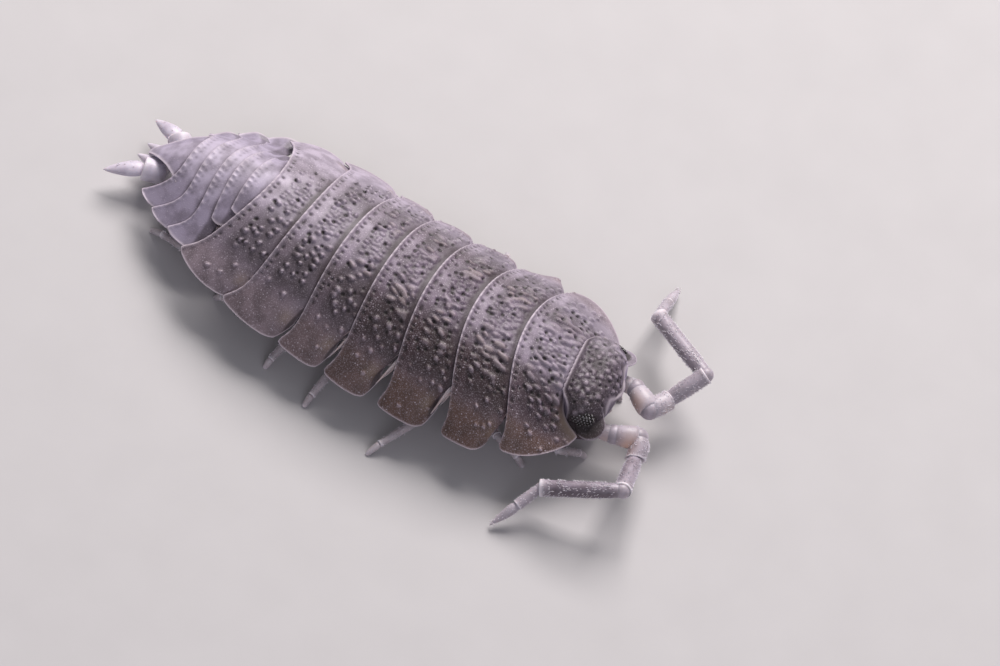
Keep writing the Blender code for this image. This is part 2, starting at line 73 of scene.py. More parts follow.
def place(side, along, up):
    """Carry places on the straightened body onto the bent body above the floor."""
    side, along, up = np.broadcast_arrays(side, along, up)
    held = np.clip(along, -BEND_HELD, BEND_HELD)
    slope = 2 * BEND * held - 3 * TWIST * held**2
    shift = BEND * held**2 - TWIST * held**3 + slope * (along - held)
    calm = np.clip(along, -BEND_HELD, TAIL_START)
    past = np.maximum(along - TAIL_START, 0.0)
    rise = 2 * SAG * calm
    lift = SAG * calm**2 + rise * (along - calm) - TAIL_DROOP * past**2 / 2
    lean = (TAIL_DROOP * past - rise) * up
    x = shift + side * np.cos(-slope) - lean * np.sin(-slope) + CENTRING[0]
    y = along + side * np.sin(-slope) + lean * np.cos(-slope) + CENTRING[1]
    return np.stack((x, y, RIDE + lift + up), axis=-1)


def spot(side, along, up):
    return Vector(place(side, along, up))


def stand(side, along, height):
    """A place beside the body, at a height above the floor."""
    point = spot(side, along, 0.0)
    point.z = height
    return point


print("tip of the tail plate", spot(0, 8.33, -0.35), "its solid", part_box("telson"))

# %% [markdown]
# # From shape to piece
# Blender's bmesh makes and joins the faces, and numpy moves the corners of a fine mesh all at once.
# These helpers turn one into the other, write a value for each corner that a material can read,
# and make sure that faces look outwards.

# %% Helpers for meshes


def face_out(mesh):
    """Turn the faces of a closed mesh outwards."""
    bmesh.ops.recalc_face_normals(mesh, faces=mesh.faces)
    if mesh.calc_volume(signed=True) < 0:
        bmesh.ops.reverse_faces(mesh, faces=mesh.faces)


def corners_of(data):
    places = np.empty(len(data.vertices) * 3)
    data.vertices.foreach_get("co", places)
    return places.reshape(-1, 3)


def put_corners(data, places):
    data.vertices.foreach_set("co", np.asarray(places, dtype=float).ravel())
    data.update()


def paint(data, name, values):
    """Keep one value for each corner, for a material to read."""
    layer = data.attributes.new(name, "FLOAT", "POINT")
    layer.data.foreach_set("value", np.asarray(values, dtype=float).ravel())


def to_data(name, mesh):
    data = bpy.data.meshes.new(name)
    mesh.to_mesh(data)
    mesh.free()
    return data


def to_piece(data, materials, nodes):
    """Turn a finished mesh in millimetres into a piece that rides on the body."""
    put_corners(data, corners_of(data) * MM)
    piece = bpy.data.objects.new(data.name, data)
    bpy.context.scene.collection.objects.link(piece)
    for finish in materials:
        data.materials.append(finish)
    data.shade_smooth()
    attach(piece, "root")
    if nodes:
        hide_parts(*nodes)
    print(data.name, len(data.polygons), "faces")
    return piece


# %% [markdown]
# # Colours and nodes
# Colours are read off as sRGB hex values and turned to the linear values that the shaders want.
# One helper adds a node, sets it and links it.

# %% Helpers for materials


def linear(code):
    """Turn an sRGB hex value into a linear colour."""
    parts = [int(code[place:place + 2], 16) / 255 for place in (1, 3, 5)]
    return (*[((part + 0.055) / 1.055)**2.4 if part > 0.04045 else part / 12.92 for part in parts], 1.0)


def add(tree, kind, settings=None, **links):
    """Add a node with its settings, and link or set its inputs by name or number."""
    node = tree.nodes.new(kind)
    for name, value in (settings or {}).items():
        setattr(node, name, value)
    for name, value in links.items():
        key = int(name[1:]) if name[0] == "i" and name[1:].isdigit() else name.replace("_", " ")
        if isinstance(value, bpy.types.NodeSocket):
            tree.links.new(value, node.inputs[key])
        else:
            node.inputs[key].default_value = value
    return node


def start_material(name):
    made = bpy.data.materials.new(name)
    made.use_nodes = True
    return made, made.node_tree, made.node_tree.nodes["Principled BSDF"]


# %% [markdown]
# # Cuticle of the back
# The back plates are chitin hardened with chalk, grown in one sheet and covered with a thin waxy
# bloom. To the eye that is a brown grey whose flanks are warm and dark, that turns lilac where one
# looks along it, with pale grains and rims and dark pits. The dark pits, the hollows between the
# tubercles, their hind sides and the front strip of each plate are painted shade, the crests of the
# tubercles are painted highlights, the pale grains and rims are partly painted sparkle and
# highlight, and the left side is partly painted paler as if lit. The colours are laid over one
# another, each with a share that the mesh carries or a pattern gives. The grains are about 0.07 mm
# wide.

# %% Cuticle of the back plates, the head and the tail
GRAIN = 0.075 * MM
FINE_GRAIN = 0.042 * MM
CLOUD = 0.5 * MM


def cuticle(name, back, slope, flank, crest_highlight_tint):
    made, tree, shader = start_material(name)
    painted = {}
    for value in ("flank", "slope", "crest_highlight", "pit_shade", "rim", "grain", "band_shade", "tan", "pale"):
        painted[value] = add(tree, "ShaderNodeAttribute", {"attribute_name": value}).outputs["Fac"]
    where = add(tree, "ShaderNodeTexCoord").outputs["Object"]
    coarse = add(tree, "ShaderNodeTexVoronoi", None, Vector=where, Scale=1 / GRAIN).outputs
    fine = add(tree, "ShaderNodeTexVoronoi", None, Vector=where, Scale=1 / FINE_GRAIN).outputs
    cloud = add(tree, "ShaderNodeTexNoise", None, Vector=where, Scale=1 / CLOUD, Detail=5.0).outputs["Fac"]
    # Pale grain spots, coarse and fine: partly pale grains and partly painted sparkle of light on them.
    spot = add(
        tree, "ShaderNodeMapRange", {"interpolation_type": "SMOOTHSTEP"},
        Value=coarse["Distance"], From_Min=0.06, From_Max=0.40, To_Min=0.85, To_Max=0.0,
    ).outputs["Result"]
    chance = add(tree, "ShaderNodeSeparateColor", None, Color=coarse["Color"]).outputs[0]
    kept = add(tree, "ShaderNodeMapRange", None, Value=chance, From_Min=0.40, From_Max=1.0).outputs["Result"]
    speck = add(tree, "ShaderNodeMath", {"operation": "MULTIPLY"}, i0=spot, i1=kept).outputs[0]
    fine_grain_sparkle = add(
        tree, "ShaderNodeMapRange", {"interpolation_type": "SMOOTHSTEP"},
        Value=fine["Distance"], From_Min=0.1, From_Max=0.50, To_Min=0.28, To_Max=0.0,
    ).outputs["Result"]
    grains = add(tree, "ShaderNodeMath", {"operation": "ADD"}, i0=speck, i1=fine_grain_sparkle).outputs[0]
    shown = add(tree, "ShaderNodeMath", {"operation": "MULTIPLY"}, i0=grains, i1=painted["grain"]).outputs[0]
    mottle = add(
        tree, "ShaderNodeMapRange", {"interpolation_type": "SMOOTHSTEP"},
        Value=cloud, From_Min=0.36, From_Max=0.68, To_Min=0.0, To_Max=0.45,
    ).outputs["Result"]
    colour = linear(back)
    # Of these layers, the pit and front band shares are painted shade, the crest share is painted highlight, the grain
    # tint is partly pale grain and partly painted sparkle, the rim share is partly pale edge and partly painted
    # highlight, and the pale share is partly painted light on the left side.
    for share, tint in (
        (painted["slope"], slope), (painted["flank"], flank), (painted["pale"], "#B7ABBC"),
        (painted["band_shade"], "#362A30"), (mottle, "#2E2321"), (painted["tan"], "#94806F"),
        (painted["crest_highlight"], crest_highlight_tint), (shown, "#CFC3CE"), (painted["pit_shade"], "#1B1211"), (painted["rim"], "#CFC2CC"),
    ):
        laid = add(tree, "ShaderNodeMix", {"data_type": "RGBA"}, i0=share, i6=colour, i7=linear(tint))
        colour = laid.outputs[2]
    tree.links.new(colour, shader.inputs["Base Color"])
    wax = add(tree, "ShaderNodeMapRange", None, Value=cloud, From_Min=0.3, From_Max=0.7, To_Min=0.44, To_Max=0.62)
    tree.links.new(wax.outputs["Result"], shader.inputs["Roughness"])
    shader.inputs["IOR"].default_value = 1.46
    shader.inputs["Sheen Weight"].default_value = 0.42
    shader.inputs["Sheen Roughness"].default_value = 0.35
    shader.inputs["Sheen Tint"].default_value = linear("#C5B8E2")
    bump = add(tree, "ShaderNodeBump", None, Height=grains, Strength=0.5, Distance=0.014 * MM)
    tree.links.new(bump.outputs["Normal"], shader.inputs["Normal"])
    return made


back_cuticle = cuticle("back_cuticle_chitin", "#776778", "#301A17", "#604942", "#BCADBC")
head_cuticle = cuticle("head_cuticle_chitin", "#524651", "#2F2324", "#372927", "#AC9DA9")
tail_cuticle = cuticle("tail_cuticle_chitin", "#B3A8BB", "#A297AB", "#B4AABB", "#CFC6D3")

# %% [markdown]
# # Limb cuticle, eyes and gill plates
# The limbs have thin, half clear cuticle without chalk, so light spreads a little under it and its
# edges look paler than its middle. It is sprinkled with fine dark dots, and its lower right side is
# painted darker as shade. The eyes are black lenses with a wet gloss and a painted glint on each
# lens, and the breathing plates are white, thin and soft. Their patterns are drawn in real sizes,
# with dots about 0.03 mm wide.

# %% Limb cuticle
DOT = 0.062 * MM


def limb_cuticle(name, pale, dark, dotted):
    made, tree, shader = start_material(name)
    where = add(tree, "ShaderNodeTexCoord").outputs["Object"]
    cloud = add(tree, "ShaderNodeTexNoise", None, Vector=where, Scale=1 / (0.35 * MM), Detail=3.0).outputs["Fac"]
    shade = add(
        tree, "ShaderNodeMapRange", {"interpolation_type": "SMOOTHSTEP"},
        Value=cloud, From_Min=0.35, From_Max=0.70, To_Min=0.0, To_Max=0.7,
    ).outputs["Result"]
    cell = add(tree, "ShaderNodeTexVoronoi", None, Vector=where, Scale=1 / DOT).outputs["Distance"]
    dots = add(
        tree, "ShaderNodeMapRange", {"interpolation_type": "SMOOTHSTEP"},
        Value=cell, From_Min=0.12, From_Max=0.38, To_Min=dotted, To_Max=0.0,
    ).outputs["Result"]
    colour = linear(pale)
    # The mesh's layers: painted shade on a limb's lower right side, then the ochre stain and the pale rim.
    for share, tint in (
        (shade, dark), (dots, "#5F525A"),
        (add(tree, "ShaderNodeAttribute", {"attribute_name": "near_side_shade"}).outputs["Fac"], "#4B3F46"),
        (add(tree, "ShaderNodeAttribute", {"attribute_name": "ochre"}).outputs["Fac"], "#C99468"),
        (add(tree, "ShaderNodeAttribute", {"attribute_name": "rim"}).outputs["Fac"], "#E6DDE4"),
    ):
        laid = add(tree, "ShaderNodeMix", {"data_type": "RGBA"}, i0=share, i6=colour, i7=linear(tint))
        colour = laid.outputs[2]
    tree.links.new(colour, shader.inputs["Base Color"])
    shader.inputs["Roughness"].default_value = 0.42
    shader.inputs["IOR"].default_value = 1.5
    shader.inputs["Sheen Weight"].default_value = 0.8
    shader.inputs["Sheen Roughness"].default_value = 0.30
    shader.inputs["Sheen Tint"].default_value = linear("#E4DCEE")
    shader.inputs["Subsurface Weight"].default_value = 0.25
    shader.inputs["Subsurface Radius"].default_value = (0.12, 0.09, 0.08)
    shader.inputs["Subsurface Scale"].default_value = 1 * MM
    bump = add(tree, "ShaderNodeBump", None, Height=cell, Strength=0.2, Distance=0.008 * MM)
    tree.links.new(bump.outputs["Normal"], shader.inputs["Normal"])
    return made


leg_cuticle = limb_cuticle("leg_cuticle_thin_chitin", "#BDB3B8", "#978C91", 0.35)
antenna_cuticle = limb_cuticle("antenna_cuticle_thin_chitin", "#998D9A", "#6C6069", 0.38)
tail_limb_cuticle = limb_cuticle("tail_limb_cuticle_thin_chitin", "#CFC6D4", "#B5AABA", 0.10)

# %% Eye lens and gill plate
eye_lens, tree, shader = start_material("eye_lens_clear_chitin")
where = add(tree, "ShaderNodeTexCoord").outputs["Object"]
cloud = add(tree, "ShaderNodeTexNoise", None, Vector=where, Scale=1 / (0.06 * MM), Detail=2.0).outputs["Fac"]
depth = add(tree, "ShaderNodeMix", {"data_type": "RGBA"}, i0=cloud, i6=linear("#090607"), i7=linear("#2A1E1E"))
# A painted glint on the top of each lens.
painted_glint = add(tree, "ShaderNodeAttribute", {"attribute_name": "painted_glint"}).outputs["Fac"]
depth = add(tree, "ShaderNodeMix", {"data_type": "RGBA"}, i0=painted_glint, i6=depth.outputs[2], i7=linear("#EAE6EC"))
tree.links.new(depth.outputs[2], shader.inputs["Base Color"])
shader.inputs["Roughness"].default_value = 0.15
shader.inputs["IOR"].default_value = 1.5
shader.inputs["Coat Weight"].default_value = 1.0
shader.inputs["Coat Roughness"].default_value = 0.06
shader.inputs["Coat IOR"].default_value = 1.55

gill_plate, tree, shader = start_material("gill_plate_white_cuticle")
where = add(tree, "ShaderNodeTexCoord").outputs["Object"]
cloud = add(tree, "ShaderNodeTexNoise", None, Vector=where, Scale=1 / (0.15 * MM), Detail=4.0).outputs["Fac"]
milky = add(tree, "ShaderNodeMix", {"data_type": "RGBA"}, i0=cloud, i6=linear("#DCD6D0"), i7=linear("#A79D98"))
tree.links.new(milky.outputs[2], shader.inputs["Base Color"])
bump = add(tree, "ShaderNodeBump", None, Height=cloud, Strength=0.3, Distance=0.01 * MM)
tree.links.new(bump.outputs["Normal"], shader.inputs["Normal"])
shader.inputs["Roughness"].default_value = 0.4
shader.inputs["Subsurface Weight"].default_value = 0.3
shader.inputs["Subsurface Radius"].default_value = (0.2, 0.15, 0.12)
shader.inputs["Subsurface Scale"].default_value = 1 * MM

# %% [markdown]
# # The trunk's seven plates
# Each ring of the trunk carries one arched plate whose rear rim covers the front of the next.
# A fine grid is extruded into a thin closed sheet and bent over the back, and a relief of rim
# beads, pits and tubercles then raises its upper side. Modelling the tubercles in the mesh, and
# not only as bump, keeps the outline of the back rough.

# %% Sections and rims of the back
DOME_POWER = 2.54
DOME_SOFT = 0.173
HOOK_POWER = 12.7
BACK_HEIGHT = 2.22
BACK_TAPER = 0.24
STEP = 0.16
OVERLAP = 0.3
SHEET = 0.07
SPREAD = 1.1

COLLAR_HALF_WIDTH = 2.0
COLLAR_ALONG = -6.33
COLLAR_REACH = 0.90
COLLAR_POWER = 6.7
COLLAR_HEIGHT = 0.98

TRUNK = (
    dict(along=-4.55, half=3.23, hook=0.31, sweep=-0.83, bulge=0.40, droop=0.06),
    dict(along=-2.91, half=3.53, hook=0.34, sweep=-0.93, widest=3.62, droop=0.24, notch=0.60),
    dict(along=-1.42, half=3.59, hook=0.38, sweep=-0.63, widest=3.72, droop=0.17, notch=0.60),
    dict(along=0.00, half=3.52, hook=0.40, sweep=-0.38, widest=3.68, droop=0.09, notch=0.60),
    dict(along=1.44, half=3.48, hook=0.42, sweep=-0.34, widest=3.60, droop=0.04, notch=0.48),
    dict(along=2.93, half=3.30, hook=0.48, sweep=0.16, widest=3.55, droop=0.00, notch=0.36),
    dict(along=4.38, half=2.75, hook=0.41, sweep=0.68, widest=3.26, droop=0.00, notch=0.30),
)
DROOP_IN = 0.75
TUCK_HALF = 0.5


def dome(reach, height):
    """Height of the back at a share of the half width from the middle line."""
    reach = np.minimum(np.abs(reach), 1.02)
    soft_part = (np.cos(np.pi * reach) + 1) / 2
    return height * ((1 - DOME_SOFT) * (1 - reach**DOME_POWER) + DOME_SOFT * soft_part)


def rim_along(ring, side):
    reach = np.abs(side) / ring["half"]
    return ring["along"] + ring["hook"] * reach**ring.get("power", HOOK_POWER) + ring["sweep"] * reach**2


def trunk_height(number):
    return BACK_HEIGHT * (1 - BACK_TAPER * ((number - 4) / 3)**2)


def smooth(value):
    value = np.clip(value, 0.0, 1.0)
    return value * value * (3 - 2 * value)


def blend(start_value, end_value, share):
    return start_value + (end_value - start_value) * share


# %% A thin sheet over the back


def sheet_mesh(name, columns, rows):
    """A closed sheet of two grids, an upper one at z = 0 and a lower one at z = -1."""
    mesh = bmesh.new()
    bmesh.ops.create_grid(mesh, x_segments=columns, y_segments=rows, size=1.0)
    lower = bmesh.ops.extrude_face_region(mesh, geom=mesh.faces[:])["geom"]
    lower = [item for item in lower if isinstance(item, bmesh.types.BMVert)]
    bmesh.ops.translate(mesh, vec=(0, 0, -1), verts=lower)
    face_out(mesh)
    return to_data(name, mesh)


class Sheet:
    """Places, distances and the outward way at each corner of a sheet's grid."""

    def __init__(self, name, columns, rows, surface):
        self.data = sheet_mesh(name, columns, rows)
        flat = corners_of(self.data)
        self.is_top = flat[:, 2] > -0.5
        self.column = np.rint((flat[:, 0] + 1) / 2 * columns).astype(int)
        self.row = np.rint((flat[:, 1] + 1) / 2 * rows).astype(int)
        line = np.sin(SPREAD * np.linspace(-1, 1, columns + 1)) / math.sin(SPREAD)
        self.across, self.down = np.meshgrid(line, np.linspace(0, 1, rows + 1))
        self.places = surface(self.across, self.down)
        tiny = 0.002
        over = surface(self.across + tiny, self.down) - surface(self.across - tiny, self.down)
        back = surface(self.across, self.down + tiny) - surface(self.across, self.down - tiny)
        out = np.cross(over, back)
        self.out = out / np.linalg.norm(out, axis=-1, keepdims=True)
        steps = np.linalg.norm(np.diff(self.places, axis=1), axis=-1)
        arc = np.concatenate((np.zeros((rows + 1, 1)), np.cumsum(steps, axis=1)), axis=1)
        middle = arc[:, columns // 2][:, None]
        self.over_back = arc - middle
        self.to_edge = np.minimum(arc, arc[:, -1:] - arc)
        steps = np.linalg.norm(np.diff(self.places, axis=0), axis=-1)
        run = np.concatenate((np.zeros((1, columns + 1)), np.cumsum(steps, axis=0)), axis=0)
        self.from_front = run
        self.to_rim = run[-1:] - run

    def lay(self, relief, thickness):
        """Raise the upper side by its relief and hang the lower side a thickness below."""
        upper = self.places + self.out * relief[..., None]
        lower = self.places - self.out * thickness[..., None]
        places = np.where(
            self.is_top[:, None], upper[self.row, self.column], lower[self.row, self.column]
        )
        put_corners(self.data, places)

    def paint(self, name, values, below=0.0):
        paint(self.data, name, np.where(self.is_top, values[self.row, self.column], below))


def scatter(chance, low, high, pitch, loose=0.3):
    """Places about a pitch apart each way, none in line with its neighbours."""
    count = [max(round((high[way] - low[way]) / pitch[way]), 1) for way in (0, 1)]
    found = []
    for row in range(count[1]):
        for column in range(count[0]):
            shove = chance.uniform(-loose, loose, 2)
            half = 0.5 * (row % 2)
            found.append((
                low[0] + (column + 0.25 + half + shove[0]) * (high[0] - low[0]) / count[0],
                low[1] + (row + 0.5 + shove[1]) * (high[1] - low[1]) / count[1],
            ))
    return found


# %% The plates of the trunk
TRUNK_COLUMNS = 380
TRUNK_ROWS = 84
RIM_PITCH = 0.26
CORNER = 0.10
CORNER_IN = 0.07


def trunk_surface(number):
    ring = TRUNK[number - 1]
    before = TRUNK[number - 2]

    def surface(across, down):
        if number == 1:
            half = blend(COLLAR_HALF_WIDTH, ring["half"], down) + ring["bulge"] * 4 * down * (1 - down)
            front = COLLAR_ALONG - COLLAR_REACH * np.abs(across)**COLLAR_POWER
            front_height = COLLAR_HEIGHT
            vault = half
            droop = ring["droop"]
        else:
            front_half = before["half"] - TUCK_HALF
            widest = ring["widest"]
            early = np.clip(1 - down / 0.4, 0, 1)
            late = np.clip((down - 0.4) / 0.6, 0, 1)
            half = widest - (widest - front_half) * early**3 - (widest - ring["half"]) * late**2
            side = front_half * np.abs(across)
            front = rim_along(before, side) - OVERLAP + ring["notch"] * smooth((side - 2.0) / 0.9)
            front_height = trunk_height(number - 1) - STEP
            vault = np.maximum(blend(before["half"] - 0.05, ring["half"], down), half)
            droop = blend(before["droop"], ring["droop"], down)
        hook = ring["hook"] * (1 - 0.6 * smooth(across / 0.4)) if number == 7 else ring["hook"]
        back = rim_along(dict(ring, hook=hook), ring["half"] * across) - CORNER * np.abs(across)**70
        half = half - CORNER_IN * np.clip(down, 0, 1.1)**50
        if number == 1:
            front = front + 1.6 * CORNER * np.abs(across)**44
            half = half - 1.6 * CORNER_IN * np.clip(1 - down, 0, 1.1)**24
        height = blend(front_height, trunk_height(number), down)
        hang = droop * np.abs(across)**4
        side = half * across - DROOP_IN * hang * np.sign(across)
        return place(side, blend(front, back, down), dome(half * across / vault, height) - hang)

    return surface


def blobs(first, second, mounds):
    """Soft oval mounds that melt into one another: middle, two radii, height and turn of each."""
    total = np.zeros_like(first)
    for middle, radii, height, turn in mounds:
        reach = 1.8 * max(radii)
        near = (np.abs(first - middle[0]) < reach) & (np.abs(second - middle[1]) < reach)
        over, back = first[near] - middle[0], second[near] - middle[1]
        c, s = math.cos(turn), math.sin(turn)
        away = ((over * c + back * s) / radii[0])**2 + ((back * c - over * s) / radii[1])**2
        total[near] += height * np.exp(-0.8 * away**1.5)
    return total


# %% Tubercles of one plate


def tubercles(chance, reach, first_row, last_row, rear):
    """Long ones on both shoulders, grains along the middle and single knobs on the flanks."""
    mounds = []
    pitch = (0.25 + 0.03 * rear, 0.37 - 0.08 * rear)
    for middle in scatter(chance, (-0.56 * reach, first_row), (0.56 * reach, last_row), pitch, 0.34):
        outward = abs(middle[0]) / reach
        if outward > 0.10 and chance.random() < 0.84:
            size = chance.uniform(0.060, 0.098) * (1 - 0.30 * rear)
            stretch = 1 + chance.uniform(0.4, 1.3) * (1 - smooth((outward - 0.36) / 0.18)) * (1 - 0.75 * rear)
            height = chance.uniform(0.40, 1.0) + 0.4 * rear
            mounds.append((middle, (size, size * stretch), height, chance.uniform(-0.4, 0.4)))
    for middle in scatter(chance, (-0.13 * reach, first_row), (0.13 * reach, last_row), (0.17, 0.19)):
        size = chance.uniform(0.045, 0.065)
        mounds.append((middle, (size, size * chance.uniform(1.0, 1.6)), chance.uniform(0.15, 0.45), 0.0))
    for sign in (-1, 1):
        low, high = sorted((sign * 0.58 * reach, sign * 0.93 * reach))
        for middle in scatter(chance, (low, first_row - 0.1), (high, last_row + 0.1), (0.34, 0.36), 0.4):
            outward = abs(middle[0]) / reach
            if chance.random() < (0.85 - 0.7 * smooth((outward - 0.6) / 0.25)) * (1 - 0.7 * rear):
                size = chance.uniform(0.055, 0.088)
                mounds.append((middle, (size, size), chance.uniform(0.5, 1.1), 0.0))
    return mounds


def dimples(chance, reach, first_row, last_row, rear):
    """Round pits between the tubercles and in the grainy strip before the rim."""
    pits = []
    for middle in scatter(chance, (-0.58 * reach, first_row), (0.58 * reach, last_row), (0.27, 0.27), 0.42):
        size = chance.uniform(0.044, 0.066)
        if chance.random() < 0.72 - 0.50 * rear:
            pits.append((middle, (size, size), 1.0, 0.0))
    return pits


# %% Lay the seven plates


def trunk_plate(number):
    sheet = Sheet(f"plate_{number}", TRUNK_COLUMNS, TRUNK_ROWS, trunk_surface(number))
    chance = np.random.default_rng(number)
    u, w = sheet.over_back, sheet.to_rim
    shown = sheet.from_front - (0.0 if number == 1 else OVERLAP)
    reach = float(u.max())
    last_row = float(w.max()) - (0.15 if number == 1 else OVERLAP) - 0.26
    share = np.abs(u) / reach
    tail_end = smooth((number - 3) / 4.5)
    rear = smooth((number - 4) / 2.5)
    # far marks the left side, which is painted paler as if lit and carries less painted shade in front.
    far = smooth((u / reach - 0.22) / 0.32)
    far *= 1 - 0.45 * smooth((u / reach - 0.64 - 0.14 * rear) / 0.22)
    flank = smooth((share - 0.58) / 0.20)
    zone = smooth((w - 0.36) / 0.16) * smooth((shown - 0.10) / 0.22)
    if number == 7:
        zone *= 1 - 0.8 * smooth((u / reach - 0.05) / 0.25)
    knobs = tubercles(chance, reach, 0.50, last_row, rear)
    mound = 1 - np.exp(-1.2 * blobs(u, w, knobs) * zone)
    # A painted shadow on the hind side of each knob, stronger towards the tail.
    behind = [((side - 0.030, row - 0.070), size, height, turn) for (side, row), size, height, turn in knobs]
    shadow = np.clip(blobs(u, w, behind) * zone, 0, 1) * (0.55 + 0.45 * rear) * (1 - 0.6 * flank)
    dent = np.clip(blobs(u, w, dimples(chance, reach, 0.30, last_row, rear)), 0, 1)
    dent *= smooth((w - 0.26) / 0.06) * smooth((shown - 0.16) / 0.1) * (1 - smooth((share - 0.5) / 0.1))
    dent *= 1 - smooth((mound - 0.35) / 0.25)
    relief = (0.112 - 0.03 * flank) * mound - 0.035 * dent
    # Painted highlight on the knob tops, dimmed where the painted shadow lies.
    crest_highlight = 0.42 * smooth((mound - 0.30) / 0.40) * (1 - 0.8 * shadow)
    # Painted shade in the hollows between the knobs.
    hollow_shade = zone * (1 - smooth(mound / 0.30)) * (1 - flank)
    drift = u + 0.06 * np.sin(u * 5.1 + number) + 0.03 * np.sin(u * 13.7 + 2 * number)
    beads = np.cos(2 * np.pi * drift / RIM_PITCH)
    relief += np.exp(-((w - 0.040) / 0.040)**2) * (0.028 + 0.014 * beads)
    # Dark dots just before the rim: pits, darkened as painted shade.
    dots = np.exp(-((w - 0.17) / 0.055)**2) * (0.5 - 0.5 * beads)**2 * (1 - 0.85 * smooth((share - 0.55) / 0.2))
    relief -= 0.035 * dots
    # The pit share is painted shade: hollows, dents, rim dots and the shadow behind each knob.
    pit_shade = np.clip(0.34 * hollow_shade + 0.80 * dent + 0.85 * dots + 0.60 * shadow, 0, 1)
    edge = np.exp(-(sheet.to_edge / 0.036)**2)
    fore = np.exp(-(sheet.from_front / 0.05)**2)
    relief += 0.016 * np.maximum(edge, 0.7 * fore)
    # Pale rear rim, side edge and front edge: partly the edge's own paleness and partly painted highlight.
    rim = np.exp(-(w / 0.050)**2) * (0.72 + 0.25 * beads) + 0.75 * edge + 0.35 * fore
    sheet.lay(relief, SHEET * (0.5 + 0.5 * smooth(np.minimum(w, sheet.to_edge) / 0.2)))
    tan = 0.45 * np.exp(-((share - 0.80) / 0.06)**2 - ((shown - 0.42) / 0.2)**2)
    tan += 0.40 * np.exp(-((share - 0.24) / 0.10)**2) * smooth((mound - 0.25) / 0.3) * (1 - 0.7 * rear)
    slope = (0.72 if number == 1 else 0.88) * smooth((share - 0.14) / 0.24) * (1 - flank)
    # Pale share: paler towards the tail and the head, and on the left side painted paler as light.
    pale = 0.68 * tail_end * (1 - 0.42 * flank - 0.6 * slope) + (0.75 if number in (1, 7) else 0.60) * far
    pale += 0.42 * smooth(2.5 - number) * (1 - smooth((share - 0.12) / 0.30))
    if number == 1:
        collar = np.exp(-(sheet.from_front / 0.30)**2)
        tan = np.maximum(0.4 * tan, 0.5 * collar * smooth((share - 0.3) / 0.2) * (1 - far))
        pale += 0.7 * collar * (1 - smooth((share - 0.25) / 0.2))
    sheet.paint("slope", slope, 0.5)
    sheet.paint("flank", flank, 1.0)
    sheet.paint("crest_highlight", crest_highlight)
    sheet.paint("pit_shade", pit_shade)
    sheet.paint("rim", np.clip(rim, 0, 1), 0.2)
    sheet.paint("grain", 0.15 + 0.75 * smooth((shown - 0.12) / 0.25))
    # Painted shade in the front strip under the rim before, weaker on the lit left side.
    sheet.paint("band_shade", 0.88 * (1 - smooth((shown - 0.10) / 0.18)) * (1 - 0.7 * far))
    sheet.paint("tan", tan)
    sheet.paint("pale", np.clip(pale, 0, 0.9))
    return to_piece(sheet.data, [back_cuticle], [f"pereonite_{number}"])


for number in range(1, 8):
    trunk_plate(number)

# %% [markdown]
# # The belly
# Under the plates the trunk is a soft vessel with a low ridge across each ring. It is one skin
# from end to end, a tube whose middle rises where the rings meet.

# %% Belly
BELLY_COLUMNS = 72
BELLY_ROWS = 120


def belly_surface(across, down):
    along = blend(-6.4, 5.6, down)
    waist = 2.15 * np.clip(1 - np.abs((along + 0.6) / 8.0)**3, 0.2, 1)
    angle = np.pi * across
    ridge = 0.06 * np.cos(2 * np.pi * along / 1.49)
    height = np.where(np.cos(angle) > 0, 0.45, 0.32 - ridge)
    side = waist * np.sin(angle)
    up = 0.05 + height * np.cos(angle)
    return place(side, along, up)


mesh = bmesh.new()
bmesh.ops.create_cone(
    mesh, cap_ends=True, segments=BELLY_COLUMNS, radius1=1.0, radius2=1.0, depth=2.0
)
walls = [edge for edge in mesh.edges if abs(edge.verts[0].co.z - edge.verts[1].co.z) > 1]
bmesh.ops.subdivide_edges(mesh, edges=walls, cuts=BELLY_ROWS - 1, use_grid_fill=True)
face_out(mesh)
belly_data = to_data("belly", mesh)
flat = corners_of(belly_data)
put_corners(belly_data, belly_surface(np.arctan2(flat[:, 1], flat[:, 0]) / np.pi, (flat[:, 2] + 1) / 2))
for name in ("rim", "ochre", "near_side_shade"):
    paint(belly_data, name, np.zeros(len(flat)))
to_piece(belly_data, [leg_cuticle], [])

# %% [markdown]
# # The tail's five plates and the tail tip
# The tail rings are short and smooth. The first two are narrow and tucked under the last trunk
# plate, and the other three end in curved side lobes. The tail tip is a pointed shield.

# %% Tail plates
TAIL = (
    dict(along=4.95, half=1.25, front=1.20, hook=0.00, power=8, sweep=-0.12),
    dict(along=5.42, half=1.62, front=1.57, hook=0.00, power=8, sweep=-0.25),
    dict(along=5.84, half=2.27, front=2.38, hook=0.88, power=8, sweep=-0.42),
    dict(along=6.36, half=1.92, front=2.20, hook=1.05, power=7, sweep=-0.30),
    dict(along=6.85, half=1.45, front=1.82, hook=1.02, power=6, sweep=-0.08),
)
TAIL_STATIONS = (4.60, 4.95, 5.42, 5.84, 6.36, 6.85, 7.30, 8.33)
TAIL_PEAKS = (1.69, 1.55, 1.40, 1.24, 1.05, 0.85, 0.55, -0.35)
TAIL_EDGES = (0.00, -0.06, -0.14, -0.20, -0.26, -0.30, -0.36, -0.50)
TAIL_WIDTHS = (2.75, 2.60, 2.45, 2.40, 2.25, 1.98, 1.65, 0.95)
TAIL_FAR_SPREAD = ((0.25, 0.05), (0.25, 0.05), (0.56, 0.30), (0.34, 0.28), (0.25, 0.20))
TAIL_CORNER = 0.13
TAIL_CORNER_IN = 0.07
TELSON_HALF_WIDTH = 1.02
TELSON_TIP = 8.33
TAIL_COLUMNS = 200
TAIL_ROWS = 44


